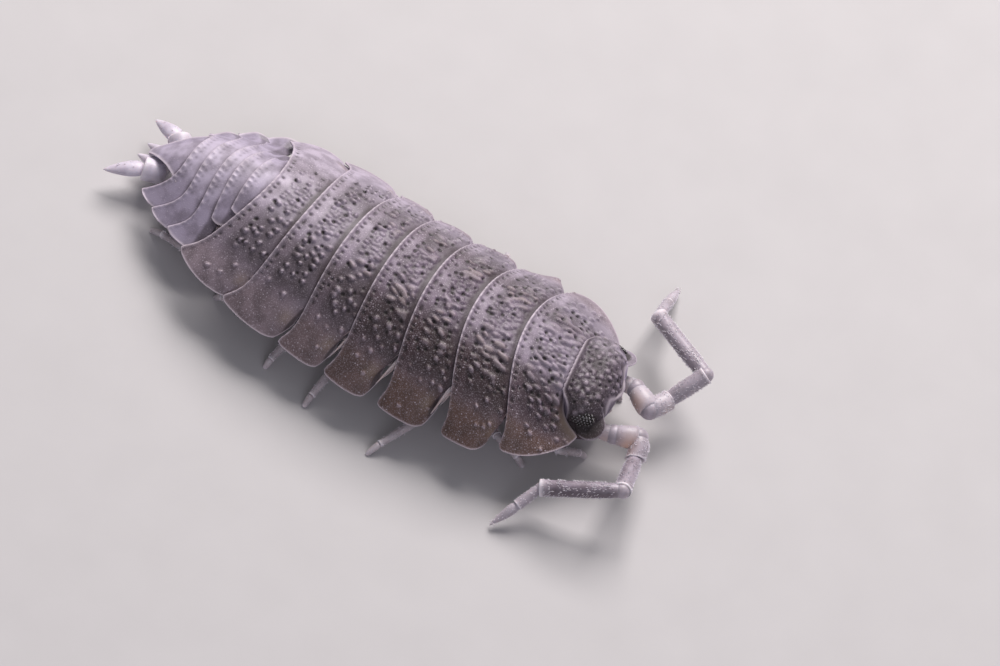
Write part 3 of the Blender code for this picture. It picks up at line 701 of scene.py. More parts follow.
def tail_up(side, along):
    """Height of the tail's back, a bell whose skirts lie nearly level."""
    peak = np.interp(along, TAIL_STATIONS, TAIL_PEAKS)
    low = np.interp(along, TAIL_STATIONS, TAIL_EDGES)
    reach = np.minimum(np.abs(side) / np.interp(along, TAIL_STATIONS, TAIL_WIDTHS), 1.0)
    return low + (peak - low) * (0.4 * (1 - reach**2.5) + 0.6 * (np.cos(np.pi * reach) + 1) / 2)


def tail_surface(number):
    ring = TAIL[number - 1]
    before = TAIL[number - 2] if number > 1 else TRUNK[-1]
    wide_front, wide_back = TAIL_FAR_SPREAD[number - 1]
    blunt = 1.0 if number > 2 else 0.0

    def surface(across, down):
        half = blend(ring["front"], ring["half"], down) + 0.10 * 4 * down * (1 - down)
        half = half + blunt * (0.03 - TAIL_CORNER_IN * np.clip(down, 0, 1.1)**16)
        side = half * across + smooth((across - 0.4) / 0.6) * blend(wide_front, wide_back, np.clip(down, 0, 1))
        front = rim_along(before, np.minimum(ring["front"] * np.abs(across), before["half"])) - 0.25
        if number > 1:
            front = np.maximum(front, rim_along(TRUNK[-1], ring["front"] * across) - 0.4)
        hook = dict(ring, hook=ring["hook"] * (1 - 0.35 * smooth(across / 0.4)))
        back = rim_along(hook, ring["half"] * across) - blunt * TAIL_CORNER * np.abs(across)**40
        front = np.minimum(front, back - 0.12)
        along = blend(front, back, down)
        hang = 0.16 * smooth((across - 0.70) / 0.3) * smooth((down - 0.35) / 0.6)
        return place(side, along, tail_up(side, along) + blend(-0.06, 0.08, down) - hang)

    return surface


def tail_plate(number):
    sheet = Sheet(f"tail_plate_{number}", TAIL_COLUMNS, TAIL_ROWS, tail_surface(number))
    u, w = sheet.over_back, sheet.to_rim
    share = np.abs(u) / float(u.max())
    beads = np.cos(2 * np.pi * (u + 0.05 * np.sin(u * 4.3 + number)) / 0.22)
    knots = np.exp(-((w - 0.10) / 0.05)**2) * (0.5 + 0.5 * beads)**2 * (1 - smooth((share - 0.42) / 0.15))
    relief = np.exp(-((w - 0.04) / 0.05)**2) * (0.020 + 0.008 * beads) + 0.022 * knots
    edge = np.exp(-(sheet.to_edge / 0.055)**2)
    # Pale rim and beads, partly the edge's own paleness and partly painted highlight; the pit share darkens the dips
    # between the beads as painted shade.
    rim = np.clip(0.55 * np.exp(-(w / 0.05)**2) + 0.8 * edge + 0.35 * knots, 0, 1)
    pit_shade = 0.35 * np.exp(-((w - 0.22) / 0.05)**2) * (0.5 - 0.5 * beads)**2 * (1 - smooth((share - 0.4) / 0.15))
    sheet.lay(relief, SHEET * (0.55 + 0.45 * smooth(np.minimum(w, sheet.to_edge) / 0.2)))
    paint_tail(sheet, edge, rim, pit_shade)
    return to_piece(sheet.data, [tail_cuticle], [f"pleonite_{number}"])


def paint_tail(sheet, edge, rim, pit_shade):
    none = np.zeros_like(edge)
    outward = smooth((np.abs(sheet.across) - 0.35) / 0.3)
    # The front strip under the rim before is painted darker as shade.
    groove = (0.25 + 0.35 * outward) * (1 - smooth((sheet.from_front - 0.27) / 0.13))
    for name, values in (
        ("flank", edge), ("slope", outward), ("crest_highlight", none), ("pit_shade", pit_shade), ("rim", rim),
        ("grain", none + 0.30), ("band_shade", groove), ("tan", none), ("pale", none),
    ):
        sheet.paint(name, values)


for number in range(1, 6):
    tail_plate(number)


# %% Tail tip


def telson_surface(across, down):
    half = TELSON_HALF_WIDTH * np.maximum(1 - down, 0)**1.15 + 0.10
    front = rim_along(TAIL[-1], TELSON_HALF_WIDTH * across) - 0.2
    along = blend(front, TELSON_TIP, down)
    side = half * across
    return place(side, along, tail_up(0 * side, along) - 0.35 * side**2 - 0.04)


sheet = Sheet("tail_tip", 80, 60, telson_surface)
edge = np.exp(-(np.minimum(sheet.to_edge, sheet.to_rim) / 0.06)**2)
sheet.lay(edge * 0.02, SHEET * (1 + 1.5 * (1 - edge)))
paint_tail(sheet, edge, 0.7 * edge, 0 * edge)
to_piece(sheet.data, [tail_cuticle], ["telson"])

# %% [markdown]
# # The head
# The head is a rounded box sunk into the first plate, grainy on top, with a lobe at each front
# corner, a brow between them and a lip below. Its pieces are laid into one another and skinned
# over with a voxel remesh, so that it has one skin without seams, and its grains are raised on it.

# %% Lumps and skins


def lump(centre, radii, turn=0.0, squareness=2.0):
    """An egg or a rounded box on the straightened body."""
    mesh = bmesh.new()
    bmesh.ops.create_icosphere(mesh, subdivisions=5, radius=1.0)
    face_out(mesh)
    data = to_data("lump", mesh)
    flat = corners_of(data)
    size = (np.abs(flat)**squareness).sum(axis=1)**(1 / squareness)
    flat = flat / size[:, None] * np.array(radii)
    c, s = math.cos(math.radians(turn)), math.sin(math.radians(turn))
    side, along = flat[:, 0] * c - flat[:, 1] * s, flat[:, 0] * s + flat[:, 1] * c
    put_corners(data, np.stack((centre[0] + side, centre[1] + along, centre[2] + flat[:, 2]), axis=-1))
    return data


def skin(name, lumps, voxel, evening=4):
    """One closed skin over several closed lumps."""
    mesh = bmesh.new()
    for part in lumps:
        mesh.from_mesh(part)
        bpy.data.meshes.remove(part)
    data = to_data(name, mesh)
    carrier = bpy.data.objects.new(name, data)
    bpy.context.scene.collection.objects.link(carrier)
    remesh = carrier.modifiers.new("skin", "REMESH")
    remesh.mode = "VOXEL"
    remesh.voxel_size = voxel
    even = carrier.modifiers.new("even", "SMOOTH")
    even.iterations = evening
    even.factor = 0.5
    made = bpy.data.meshes.new_from_object(carrier.evaluated_get(bpy.context.evaluated_depsgraph_get()))
    bpy.data.objects.remove(carrier)
    bpy.data.meshes.remove(data)
    made.name = name
    return made


def ways_out(data):
    ways = np.empty(len(data.vertices) * 3)
    data.vertices.foreach_get("normal", ways)
    return ways.reshape(-1, 3)


# %% Head
HEAD_CENTRE = (0.0, -6.85, 0.15)
HEAD_RADII = (1.57, 0.88, 1.02)
HEAD_SQUARENESS = 2.6
HEAD_SLOPE = 0.16
HEAD_REAR = -6.24
HEAD_REAR_CURL = 0.36
SKIN_VOXEL = 0.025
LOBE_MIDDLE = (1.38, -7.30)
LOBE_RADII = (0.43, 0.44)
LOBE_TURN = 12
LOBE_FALL = 0.40
FACE_SLANT = 0.50


def head_rear(side):
    return HEAD_REAR - HEAD_REAR_CURL * smooth((np.abs(side) - 0.95) / 0.6)


def head_front(side):
    """The line between the top of the head and its face."""
    return -7.80 + 0.22 * smooth(np.abs(side) / 0.7) - 0.20 * smooth((np.abs(side) - 0.85) / 0.4)


hood = lump(HEAD_CENTRE, HEAD_RADII, 0, HEAD_SQUARENESS)
flat = corners_of(hood)
flat[:, 2] += HEAD_SLOPE * (flat[:, 1] - HEAD_CENTRE[1])
flat[:, 1] = HEAD_REAR + (flat[:, 1] - HEAD_REAR) * np.where(flat[:, 1] > HEAD_REAR, 1.4, 1.0)
flat[:, 1] = np.minimum(flat[:, 1], head_rear(flat[:, 0]))
flat[:, 1] += FACE_SLANT * np.clip(0.30 - flat[:, 2], 0, 1) * smooth((HEAD_CENTRE[1] - flat[:, 1]) / 0.5)
put_corners(hood, flat)
parts = [
    hood,
    lump((0, -7.56, 0.46), (0.55, 0.24, 0.09)),
    lump((0, -7.22, -0.05), (0.80, 0.30, 0.36)),
    lump((0, -7.10, -0.48), (0.42, 0.26, 0.22)),
]
for sign in (-1, 1):
    lobe = lump((sign * LOBE_MIDDLE[0], LOBE_MIDDLE[1], 0.22), (*LOBE_RADII, 0.085), sign * LOBE_TURN, 2.2)
    flat = corners_of(lobe)
    flat[:, 2] -= LOBE_FALL * (np.abs(flat[:, 0]) - LOBE_MIDDLE[0])
    put_corners(lobe, flat)
    parts += [
        lobe,
        lump((sign * 1.12, -6.90, -0.36), (0.40, 0.62, 0.36)),
        lump((sign * 0.42, -6.95, -0.66), (0.36, 0.46, 0.26)),
    ]
head_data = skin("head_shell", parts, SKIN_VOXEL, 2)
flat = corners_of(head_data)
out = ways_out(head_data)
side, along, up = flat[:, 0], flat[:, 1], flat[:, 2]
chance = np.random.default_rng(40)
on_top = smooth((out[:, 2] + 0.10) / 0.3) * smooth((up - 0.16) / 0.2)
on_top *= smooth((along - head_front(side) - 0.05) / 0.08) * smooth((head_rear(side) - 0.10 - along) / 0.06)
on_top *= 1 - smooth((-7.12 - along) / 0.12) * smooth((np.abs(side) - 1.0) / 0.12)
tree = KDTree(len(flat))
for index, corner in enumerate(flat):
    tree.insert(corner, index)
tree.balance()


def strew(sites, pitch, sizes):
    """A soft mound at each of some well spread sites on the head."""
    chosen = np.empty((0, 3))
    total = np.zeros(len(flat))
    for index in chance.permutation(sites)[:6000]:
        if len(chosen) and ((chosen - flat[index])**2).sum(axis=1).min() < pitch**2:
            continue
        chosen = np.vstack((chosen, flat[index]))
        size = chance.uniform(*sizes)
        strength = chance.uniform(0.20, 1.1)
        for found in tree.find_range(flat[index], 1.9 * size):
            total[found[1]] += strength * math.exp(-0.8 * (found[2] / size)**3)
    print(len(chosen), "grains or dents on the head")
    return total


sites = np.nonzero(on_top > 0.3)[0]
grains = (1 - np.exp(-1.2 * strew(sites, 0.205, (0.060, 0.105)))) * on_top
fine_grains = np.clip(strew(sites, 0.090, (0.022, 0.036)), 0, 1) * on_top
dents = np.clip(strew(sites, 0.180, (0.034, 0.056)), 0, 1) * on_top * (1 - smooth((grains - 0.40) / 0.3))
beads = np.cos(2 * np.pi * side / 0.17)
behind = np.exp(-((head_rear(side) - along) / 0.034)**2) * smooth(out[:, 2] / 0.3 + 0.5)
# The pale rim behind the head is partly a painted highlight, brightest on top and fading lower down.
behind *= 0.35 + 0.65 * smooth((up - 0.55) / 0.4)
ahead = np.exp(-((along - head_front(side)) / 0.04)**2) * smooth((up - 0.3) / 0.15)
relief = 0.062 * grains + 0.010 * fine_grains - 0.040 * dents + behind * (0.03 + 0.008 * beads) + 0.02 * ahead

# %% Shades of the head
lobe_over = (np.abs(side) - LOBE_MIDDLE[0]) / LOBE_RADII[0]
lobe_along = (along - LOBE_MIDDLE[1]) / LOBE_RADII[1]
lobe_out = np.sqrt(lobe_over**2 + lobe_along**2)
lobes = smooth((-7.05 - along) / 0.15) * smooth((1.25 - lobe_out) / 0.1) * smooth((np.abs(side) - 0.95) / 0.1)
# Pale lobe edge, partly painted highlight, twice as strong on the left side.
brink = lobes * smooth((lobe_out - 0.93) / 0.07) * np.where(side > 0, 1.0, 0.5)
# Painted light: the left lobe's outer part is paler and free of the painted shade around the eye.
far_lobe = lobes * smooth((lobe_out - 0.45) / 0.25) * (side > 0)
# Painted shade around the eye.
eye_away = np.sqrt(((np.abs(side) - 1.45) / 0.42)**2 + ((along + 7.05) / 0.55)**2 + ((up - 0.25) / 0.40)**2)
shade = 1 - smooth((eye_away - 0.9) / 0.4)
rim = np.clip(0.9 * behind + 0.55 * ahead * (1 - lobes) + 0.9 * brink, 0, 1)
# The pit share is painted shade: in the hollows between grains, in the dents and around the eye.
pit_shade = 0.40 * on_top * (1 - smooth(grains / 0.25)) + 0.85 * dents + 0.70 * shade * (1 - far_lobe)
pit_shade *= 1 - 0.75 * smooth((lobe_out - 0.60) / 0.3) * lobes
pit_shade = np.clip(pit_shade * (1 - brink), 0, 1)
low = smooth((0.35 - up) / 0.3)
flat = flat + out * relief[:, None]
put_corners(head_data, place(flat[:, 0], flat[:, 1], flat[:, 2]))
# The crest share is painted highlight on the grains, and the pale share paints the left half of the top and the left
# lobe lighter as lit.
for name, values in (
    ("flank", low), ("slope", 0.5 * smooth((np.abs(side) - 0.6) / 0.5)), ("pit_shade", pit_shade), ("rim", rim),
    ("crest_highlight", 0.50 * smooth((grains - 0.3) / 0.45) + 0.12 * fine_grains), ("grain", 0.25 + 0.35 * on_top + 0.35 * lobes),
    ("band_shade", 0 * side), ("tan", 0 * side), ("pale", 0.30 * smooth((side - 0.2) / 0.9) * on_top + 0.6 * far_lobe),
):
    paint(head_data, name, values)
to_piece(head_data, [head_cuticle], ["head"])

# %% Eyes
EYE_CENTRE = (1.34, -7.00, 0.44)
EYE_RADII = (0.40, 0.27, 0.20)
EYE_AIM = (0.86, -0.08, 0.48)
LENS_PITCH = 0.092
GLINT_CAP = 0.28
# How strong the painted glint is in each row of lenses.
ROW_LIGHT = {3: 0.4, 2: 0.8, 1: 1.0, 0: 1.0, -1: 0.45, -2: 0.1, -3: 0.05}


def eye(word, sign):
    aim = Vector((EYE_AIM[0] * sign, EYE_AIM[1], EYE_AIM[2])).normalized()
    over = aim.cross(Vector((0, -1, 0))).normalized()
    fore = over.cross(aim).normalized()
    turn = Matrix((fore, over, aim)).transposed().to_4x4()
    chance = np.random.default_rng(70)
    mesh = bmesh.new()
    painted_glint = mesh.verts.layers.float.new("painted_glint")
    bmesh.ops.create_icosphere(
        mesh, subdivisions=4, radius=1.0, matrix=Matrix.Diagonal((*EYE_RADII, 1))
    )
    for row in range(-3, 4):
        for column in range(-4, 5):
            fore_by = (column + 0.5 * (row % 2)) * LENS_PITCH / EYE_RADII[0]
            over_by = row * LENS_PITCH * 0.87 / EYE_RADII[1]
            if fore_by**2 + over_by**2 > 0.90:
                continue
            out_by = math.sqrt(1 - 0.8 * (fore_by**2 + over_by**2))
            middle = Vector((fore_by * EYE_RADII[0], over_by * EYE_RADII[1], out_by * EYE_RADII[2] - 0.012))
            lens = bmesh.ops.create_icosphere(
                mesh, subdivisions=3, radius=LENS_PITCH * 0.5, matrix=Matrix.Translation(middle)
            )
            away = (middle / EYE_RADII[2] + Vector((0, 0, 0.6))).normalized()
            # Each lens's painted glint: its width and its strength.
            wide = GLINT_CAP * chance.uniform(0.3, 1.1)
            light = ROW_LIGHT[-sign * row] * chance.uniform(0.45, 1.0)
            for vert in lens["verts"]:
                steep = (vert.co - middle).normalized().angle(away)
                vert[painted_glint] = light * float(smooth((wide + 0.2 - steep) / 0.2))
    where = Matrix.Translation((EYE_CENTRE[0] * sign, EYE_CENTRE[1], EYE_CENTRE[2])) @ turn
    bmesh.ops.transform(mesh, matrix=where, verts=mesh.verts)
    bmesh.ops.recalc_face_normals(mesh, faces=mesh.faces)
    data = to_data(f"eye_lenses_{word}", mesh)
    flat = corners_of(data)
    put_corners(data, place(flat[:, 0], flat[:, 1], flat[:, 2]))
    return to_piece(data, [eye_lens], [f"eye_{word}"])


eye("right", -1)
eye("left", 1)

# %% Mouthparts
data = skin("mouth_plates", [lump((sign * 0.30, -6.92, -0.98), (0.32, 0.62, 0.15)) for sign in (-1, 1)], 0.03)
flat = corners_of(data)
put_corners(data, place(flat[:, 0], flat[:, 1], flat[:, 2]))
for name in ("rim", "ochre", "near_side_shade"):
    paint(data, name, np.zeros(len(data.vertices)))
to_piece(data, [leg_cuticle], ["mouthparts"])

# %% [markdown]
# # Limbs
# A limb is a chain of stiff tubes. Each tube starts narrow inside the flared end of the one before,
# swells a little and flares again, as a real joint does. One function builds a tube from a few
# circles that are bridged, and each limb is a list of such tubes.

# %% One article of a limb
LIMB_SIDES = 24
SOCKET = (
    (-0.05, 0.35, 0.3), (-0.03, 0.62, 0.3), (0.01, 0.80, 0.3), (0.06, 0.88, 0.1), (0.14, 0.94, 0.0),
    (0.28, 0.99, 0.0), (0.48, 1.01, 0.0), (0.68, 0.99, 0.0), (0.84, 0.99, 0.0), (0.935, 1.02, 0.2),
    (0.98, 1.07, 0.8), (1.0, 1.06, 1.0), (1.0, 0.98, 0.9), (0.98, 0.84, 0.4), (0.95, 0.45, 0.2),
)
SLEEVE = (
    (-0.05, 0.35, 0.3), (-0.03, 0.62, 0.3), (0.01, 0.80, 0.3), (0.06, 0.88, 0.1), (0.16, 0.94, 0.0),
    (0.30, 1.00, 0.0), (0.48, 1.04, 0.0), (0.66, 1.03, 0.0), (0.80, 1.00, 0.0), (0.90, 0.97, 0.1),
    (0.96, 0.92, 0.4), (1.00, 0.82, 0.6), (1.01, 0.70, 0.5), (1.00, 0.45, 0.2),
)
SPIKE = (
    (-0.04, 0.30, 0.3), (0.0, 0.62, 0.3), (0.06, 0.84, 0.1), (0.16, 0.97, 0.0), (0.32, 1.0, 0.0),
    (0.50, 0.88, 0.0), (0.66, 0.70, 0.1), (0.80, 0.50, 0.2), (0.90, 0.32, 0.3), (0.97, 0.15, 0.4), (1.0, 0.04, 0.4),
)
TOE = (
    (-0.04, 0.35, 0.3), (0.0, 0.72, 0.3), (0.08, 0.92, 0.1), (0.25, 1.0, 0.0), (0.50, 0.92, 0.0),
    (0.72, 0.82, 0.1), (0.86, 0.72, 0.3), (0.94, 0.58, 0.5), (0.985, 0.36, 0.6), (1.0, 0.12, 0.6),
)


def start_limb():
    """An empty mesh whose corners can keep how pale and ochre they are and how much painted shade they carry."""
    mesh = bmesh.new()
    for name in ("rim", "ochre", "near_side_shade"):
        mesh.verts.layers.float.new(name)
    return mesh


def axes(line):
    """A turn that takes +Z along a line."""
    across = line.cross(Vector((0, 0, 1))).normalized()
    return Matrix((across, across.cross(line.normalized()), line.normalized())).transposed().to_4x4()


# The side of each limb that is painted darker as shade: its lower right side.
NEAR_SIDE = Vector((-0.75, 0.15, -0.60)).normalized()


def article(mesh, first, last, radii, profile=SOCKET, flatness=1.0, tints=(0, 0, 0), bow=(0, 0, 0)):
    """Add one stiff tube between two places, with how pale and ochre its sides are and its painted shade."""
    rim, stain, near_side_shade = [mesh.verts.layers.float[name] for name in ("rim", "ochre", "near_side_shade")]
    line = last - first
    turn = Matrix.Translation(first) @ axes(line)
    rings = []
    for share, width, pale in profile:
        radius = width * blend(radii[0], radii[1], min(max(share, 0.0), 1.0))
        level = Matrix.Translation((0, 0, share * line.length)) @ Matrix.Diagonal((1, flatness, 1, 1))
        level = Matrix.Translation(Vector(bow) * 4 * share * (1 - share)) @ turn @ level
        ring = bmesh.ops.create_circle(mesh, segments=LIMB_SIDES, radius=radius, matrix=level)["verts"]
        corners = set(ring)
        for vert in ring:
            vert[rim] = max(pale, tints[0])
            sideways = (vert.co - level.translation).dot(NEAR_SIDE) / radius
            vert[stain] = tints[1] * float(smooth(0.5 + 0.7 * sideways)) * math.exp(-((share - 0.6) / 0.40)**2)
            # Painted shade on the lower right side of the tube.
            vert[near_side_shade] = tints[2] * float(smooth(0.5 + 0.8 * sideways)) * (1 - pale)
        edges = [edge for vert in ring for edge in vert.link_edges if edge.other_vert(vert) in corners]
        rings.append(list(dict.fromkeys(edges)))
    for lower, higher in zip(rings, rings[1:]):
        bmesh.ops.bridge_loops(mesh, edges=lower + higher)
    bmesh.ops.holes_fill(mesh, edges=rings[0] + rings[-1], sides=LIMB_SIDES)


def knuckle_ball(mesh, place_of, radius, pale=0.30):
    """The soft skin that shows in a bent joint."""
    rim = mesh.verts.layers.float["rim"]
    middle = Matrix.Translation(place_of)
    for vert in bmesh.ops.create_icosphere(mesh, subdivisions=3, radius=radius, matrix=middle)["verts"]:
        vert[rim] = pale


# %% Bristles
BRISTLE_SIDES = 5


def bristles(mesh, chance, first, last, radii, density, length, bow=(0, 0, 0)):
    """Strew short stiff bristles over an article, all leaning towards its end."""
    line = last - first
    turn = axes(line).to_3x3()
    rim = mesh.verts.layers.float["rim"]
    area = 2 * math.pi * (radii[0] + radii[1]) / 2 * line.length
    for _ in range(int(density * area)):
        share = chance.uniform(0.08, 0.96)
        angle = chance.uniform(0, 2 * math.pi)
        outward = turn @ Vector((math.cos(angle), math.sin(angle), 0))
        radius = blend(radii[0], radii[1], share) * blend(0.80, 0.97, min(share / 0.25, 1.0))
        lean = (outward * 0.75 + line.normalized() * 0.66).normalized()
        long = length * chance.uniform(0.7, 1.2)
        middle = first + line * share + Vector(bow) * 4 * share * (1 - share)
        middle += outward * radius + lean * long * 0.35
        cone = bmesh.ops.create_cone(
            mesh, cap_ends=True, segments=BRISTLE_SIDES, radius1=0.0135, radius2=0.003, depth=long,
            matrix=Matrix.Translation(middle) @ lean.to_track_quat("Z", "Y").to_matrix().to_4x4(),
        )
        for vert in cone["verts"]:
            vert[rim] = 0.9


def limb_piece(name, mesh, finish, nodes):
    face_out(mesh)
    return to_piece(to_data(name, mesh), [finish], nodes)


# %% Legs
LEGS = (
    dict(root=(1.94, -5.35), stride=-1, knuckle=(1.80, -6.70), foot=(1.20, -7.45)),
    dict(root=(2.10, -3.85), stride=-1, knuckle=(2.20, -4.90), foot=(2.45, -5.93)),
    dict(root=(2.12, -2.35), stride=-1, knuckle=(3.05, -2.80), foot=(4.45, -2.10)),
    dict(root=(2.10, -0.80), stride=1, knuckle=(2.90, -0.12), foot=(4.08, 0.00)),
    dict(root=(2.08, 0.65), stride=1, knuckle=(2.80, 1.38), foot=(3.65, 1.53)),
    dict(root=(1.98, 2.15), stride=1, knuckle=(2.55, 3.15), foot=(2.52, 4.00)),
    dict(root=(1.65, 3.60), stride=1, knuckle=(2.05, 5.20), foot=(1.80, 6.85)),
)
LEG_RADIUS = 0.16
LEFT_STEP = 0.22


def leg(word, sign, number):
    plan = LEGS[number - 1]
    step = LEFT_STEP * (-1)**number if sign > 0 else 0.0
    side, along = plan["root"]
    stride = plan["stride"]
    root = spot(sign * side, along, -0.2)
    hip = stand(sign * side, along, root.z - 0.45)
    knee = stand(sign * side * 0.57, along + 0.15 * stride, 0.50)
    shin = stand(sign * side * 0.785, along + 0.62 * stride, 0.50)
    knuckle = stand(sign * plan["knuckle"][0], plan["knuckle"][1] + step / 2, 0.62)
    foot = stand(sign * plan["foot"][0], plan["foot"][1] + step, 0.02)
    middle = shin.lerp(knuckle, 0.5)
    ankle = knuckle.lerp(foot, 0.74)
    ankle.z = 0.30
    thick, slim, thin = LEG_RADIUS, 0.85 * LEG_RADIUS, 0.66 * LEG_RADIUS
    chance = np.random.default_rng(60 + number)
    mesh = start_limb()
    article(mesh, root, hip, (thick, thick))
    article(mesh, hip, knee, (thick, slim), flatness=0.85)
    article(mesh, knee, shin, (slim, slim))
    article(mesh, shin, middle, (slim, slim))
    article(mesh, middle, knuckle, (slim, slim))
    article(mesh, knuckle, ankle, (slim, thin))
    article(mesh, ankle, foot, (thin, thin), TOE)
    for joint in (hip, knee, shin, middle, knuckle):
        knuckle_ball(mesh, joint, 0.80 * slim)
    bristles(mesh, chance, middle, knuckle, (slim, slim), 30, 0.09)
    bristles(mesh, chance, knuckle, ankle, (slim, thin), 34, 0.08)
    return limb_piece(f"walking_leg_{word}_{number}", mesh, leg_cuticle, [f"leg_{word}_{number}"])


for word, sign in (("right", -1), ("left", 1)):
    for number in range(1, 8):
        leg(word, sign, number)

# %% Spurs of joint skin in front of the plates
SPUR_RINGS = (3, 4, 5)
SPUR_REACH = (0.70, 0.95)


def side_spurs(word, sign):
    """Three soft prongs that hang along the front edge of a plate, at the notch before it."""
    mesh = start_limb()
    for number in SPUR_RINGS:
        surface = trunk_surface(number)
        for shift, reach in ((0.00, 0.01), (0.05, -0.03), (0.10, -0.01)):
            first = Vector(surface(sign * SPUR_REACH[0], shift)) - Vector((0, 0.03, 0.10))
            last = Vector(surface(sign * (SPUR_REACH[1] + reach), shift)) - Vector((0, 0.06, 0.16))
            article(mesh, first, last, (0.04, 0.035), SPIKE, tints=(0.1, 0.35, 0.0), bow=(sign * 0.10, -0.02, 0.02))
    return limb_piece(f"side_spurs_{word}", mesh, leg_cuticle, [])


side_spurs("right", -1)
side_spurs("left", 1)

# %% Antennae
ANTENNA_RIGHT = (
    (-1.02, -7.50, 1.20), (-0.94, -8.00, 1.25), (-0.72, -8.68, 1.30), (-1.38, -8.86, 1.12),
    (-3.06, -8.95, 1.72), (-3.64, -6.71, 1.05), (-4.27, -6.31, 0.66), (-4.96, -5.79, 0.14),
)
ANTENNA_LEFT = (
    (1.02, -7.50, 1.20), (0.92, -8.00, 1.25), (0.42, -8.62, 1.22), (1.03, -8.99, 1.20),
    (1.96, -9.72, 1.85), (3.72, -7.68, 1.28), (4.68, -7.74, 0.75), (5.75, -7.82, 0.18),
)
STALK_RADII = ((0.22, 0.27), (0.31, 0.35), (0.31, 0.30), (0.25, 0.26), (0.24, 0.25))
STALK_BOWS = ((0, 0, 0), (-0.05, -0.04, 0.05), (0.03, -0.04, 0.04), (-0.03, 0, 0.03), (-0.06, 0, 0.06))
# Tints of each stalk article and each whip part: pale rim, ochre stain and painted shade on the lower right side.
STALK_TINTS = ((0.35, 0.4, 0.0), (0.30, 1.0, 0.0), (0.24, 0.55, 0.0), (0.05, 0.0, 0.45), (0.0, 0.0, 0.70))
WHIP_RADII = ((0.15, 0.17), (0.17, 0.12))
WHIP_TINTS = ((0.24, 0.0, 0.30), (0.36, 0.0, 0.15))
# The left antenna is painted paler, with less painted shade, as light on that side.
LEFT_PAINTED_LIGHT = 0.16


def antenna(word, joints):
    joints = [stand(*joint) for joint in joints]
    chance = np.random.default_rng(80)
    paler = LEFT_PAINTED_LIGHT if word == "left" else 0.0
    mesh = start_limb()
    for index, radii in enumerate(STALK_RADII):
        first, last = joints[index], joints[index + 1]
        profile = SLEEVE if index < 2 else SOCKET
        pale, stain, near_side_shade = STALK_TINTS[index]
        tints = (pale + paler, stain, near_side_shade * (1 - 3 * paler))
        article(mesh, first, last, radii, profile, tints=tints, bow=STALK_BOWS[index])
        knuckle_ball(mesh, first, 0.97 * radii[0], 0.24)
        bristles(mesh, chance, first, last, radii, 110 if index > 1 else 24, 0.075, STALK_BOWS[index])
    limb_piece(f"antenna_stalk_{word}", mesh, antenna_cuticle, [f"antenna_{word}_peduncle"])
    mesh = start_limb()
    knuckle_ball(mesh, joints[5], 0.15)
    article(mesh, joints[5], joints[6], WHIP_RADII[0], tints=WHIP_TINTS[0])
    knuckle_ball(mesh, joints[6], 0.14)
    article(mesh, joints[6], joints[7], WHIP_RADII[1], SPIKE, tints=WHIP_TINTS[1])
    bristles(mesh, chance, joints[5], joints[6], WHIP_RADII[0], 90, 0.06)
    bristles(mesh, chance, joints[6], joints[7], (0.17, 0.07), 90, 0.06)
    limb_piece(f"antenna_whip_{word}", mesh, antenna_cuticle, [f"antenna_{word}_flagellum"])


antenna("right", ANTENNA_RIGHT)
antenna("left", ANTENNA_LEFT)

# %% Forked tail limbs
BLOCK = (
    (-0.04, 0.40, 0.2), (0.0, 0.72, 0.2), (0.10, 0.90, 0.0), (0.35, 1.0, 0.0), (0.70, 1.03, 0.0),
    (0.92, 1.08, 0.5), (1.0, 1.06, 0.8), (1.01, 0.90, 0.5), (0.98, 0.45, 0.2),
)


def uropod(word, sign, end, tip):
    root = spot(sign * 0.44, 7.45, -0.48)
    end, tip = spot(*end), spot(*tip)
    inner_tip = spot(sign * 0.26, 8.62, -0.50)
    mesh = start_limb()
    article(mesh, root, end, (0.34, 0.34), BLOCK)
    article(mesh, end, tip, (0.27, 0.25), SPIKE, flatness=0.72)
    article(mesh, spot(sign * 0.22, 7.50, -0.52), inner_tip, (0.24, 0.22), SPIKE)
    bristles(mesh, np.random.default_rng(90), end, end.lerp(tip, 0.7), (0.25, 0.14), 26, 0.08)
    return limb_piece(f"tail_limb_{word}", mesh, tail_limb_cuticle, [f"uropod_{word}"])


uropod("right", -1, (-0.68, 8.11, -0.40), (-1.42, 9.06, -0.42))
uropod("left", 1, (0.94, 7.93, -0.40), (1.12, 8.93, -0.42))

# %% Breathing plates


def gill(word, sign, number):
    shrink = 1 - 0.07 * (number - 1)
    centre = (sign * 0.62 * shrink, 4.95 + 0.5 * (number - 1), 0.02 - 0.1 * number)
    mesh = bmesh.new()
    bmesh.ops.create_icosphere(mesh, subdivisions=4, radius=1.0)
    data = to_data(f"breathing_plate_{word}_{number}", mesh)
    flat = corners_of(data) * np.array((0.5 * shrink, 0.30, 0.06))
    c, s = math.cos(math.radians(-38)), math.sin(math.radians(-38))
    along, up = flat[:, 1] * c - flat[:, 2] * s, flat[:, 1] * s + flat[:, 2] * c
    put_corners(data, place(centre[0] + flat[:, 0], centre[1] + along, centre[2] + up))
    return to_piece(data, [gill_plate], [f"pleopod_{word}_{number}"])


for word, sign in (("right", -1), ("left", 1)):
    for number in range(1, 6):
        gill(word, sign, number)

# %% [markdown]
# # Floor, light and camera
# A plain pale floor and soft light from a large panel over the far side show the relief of the
# back. The camera is placed as the photograph's was, by the fit of its body's rims.

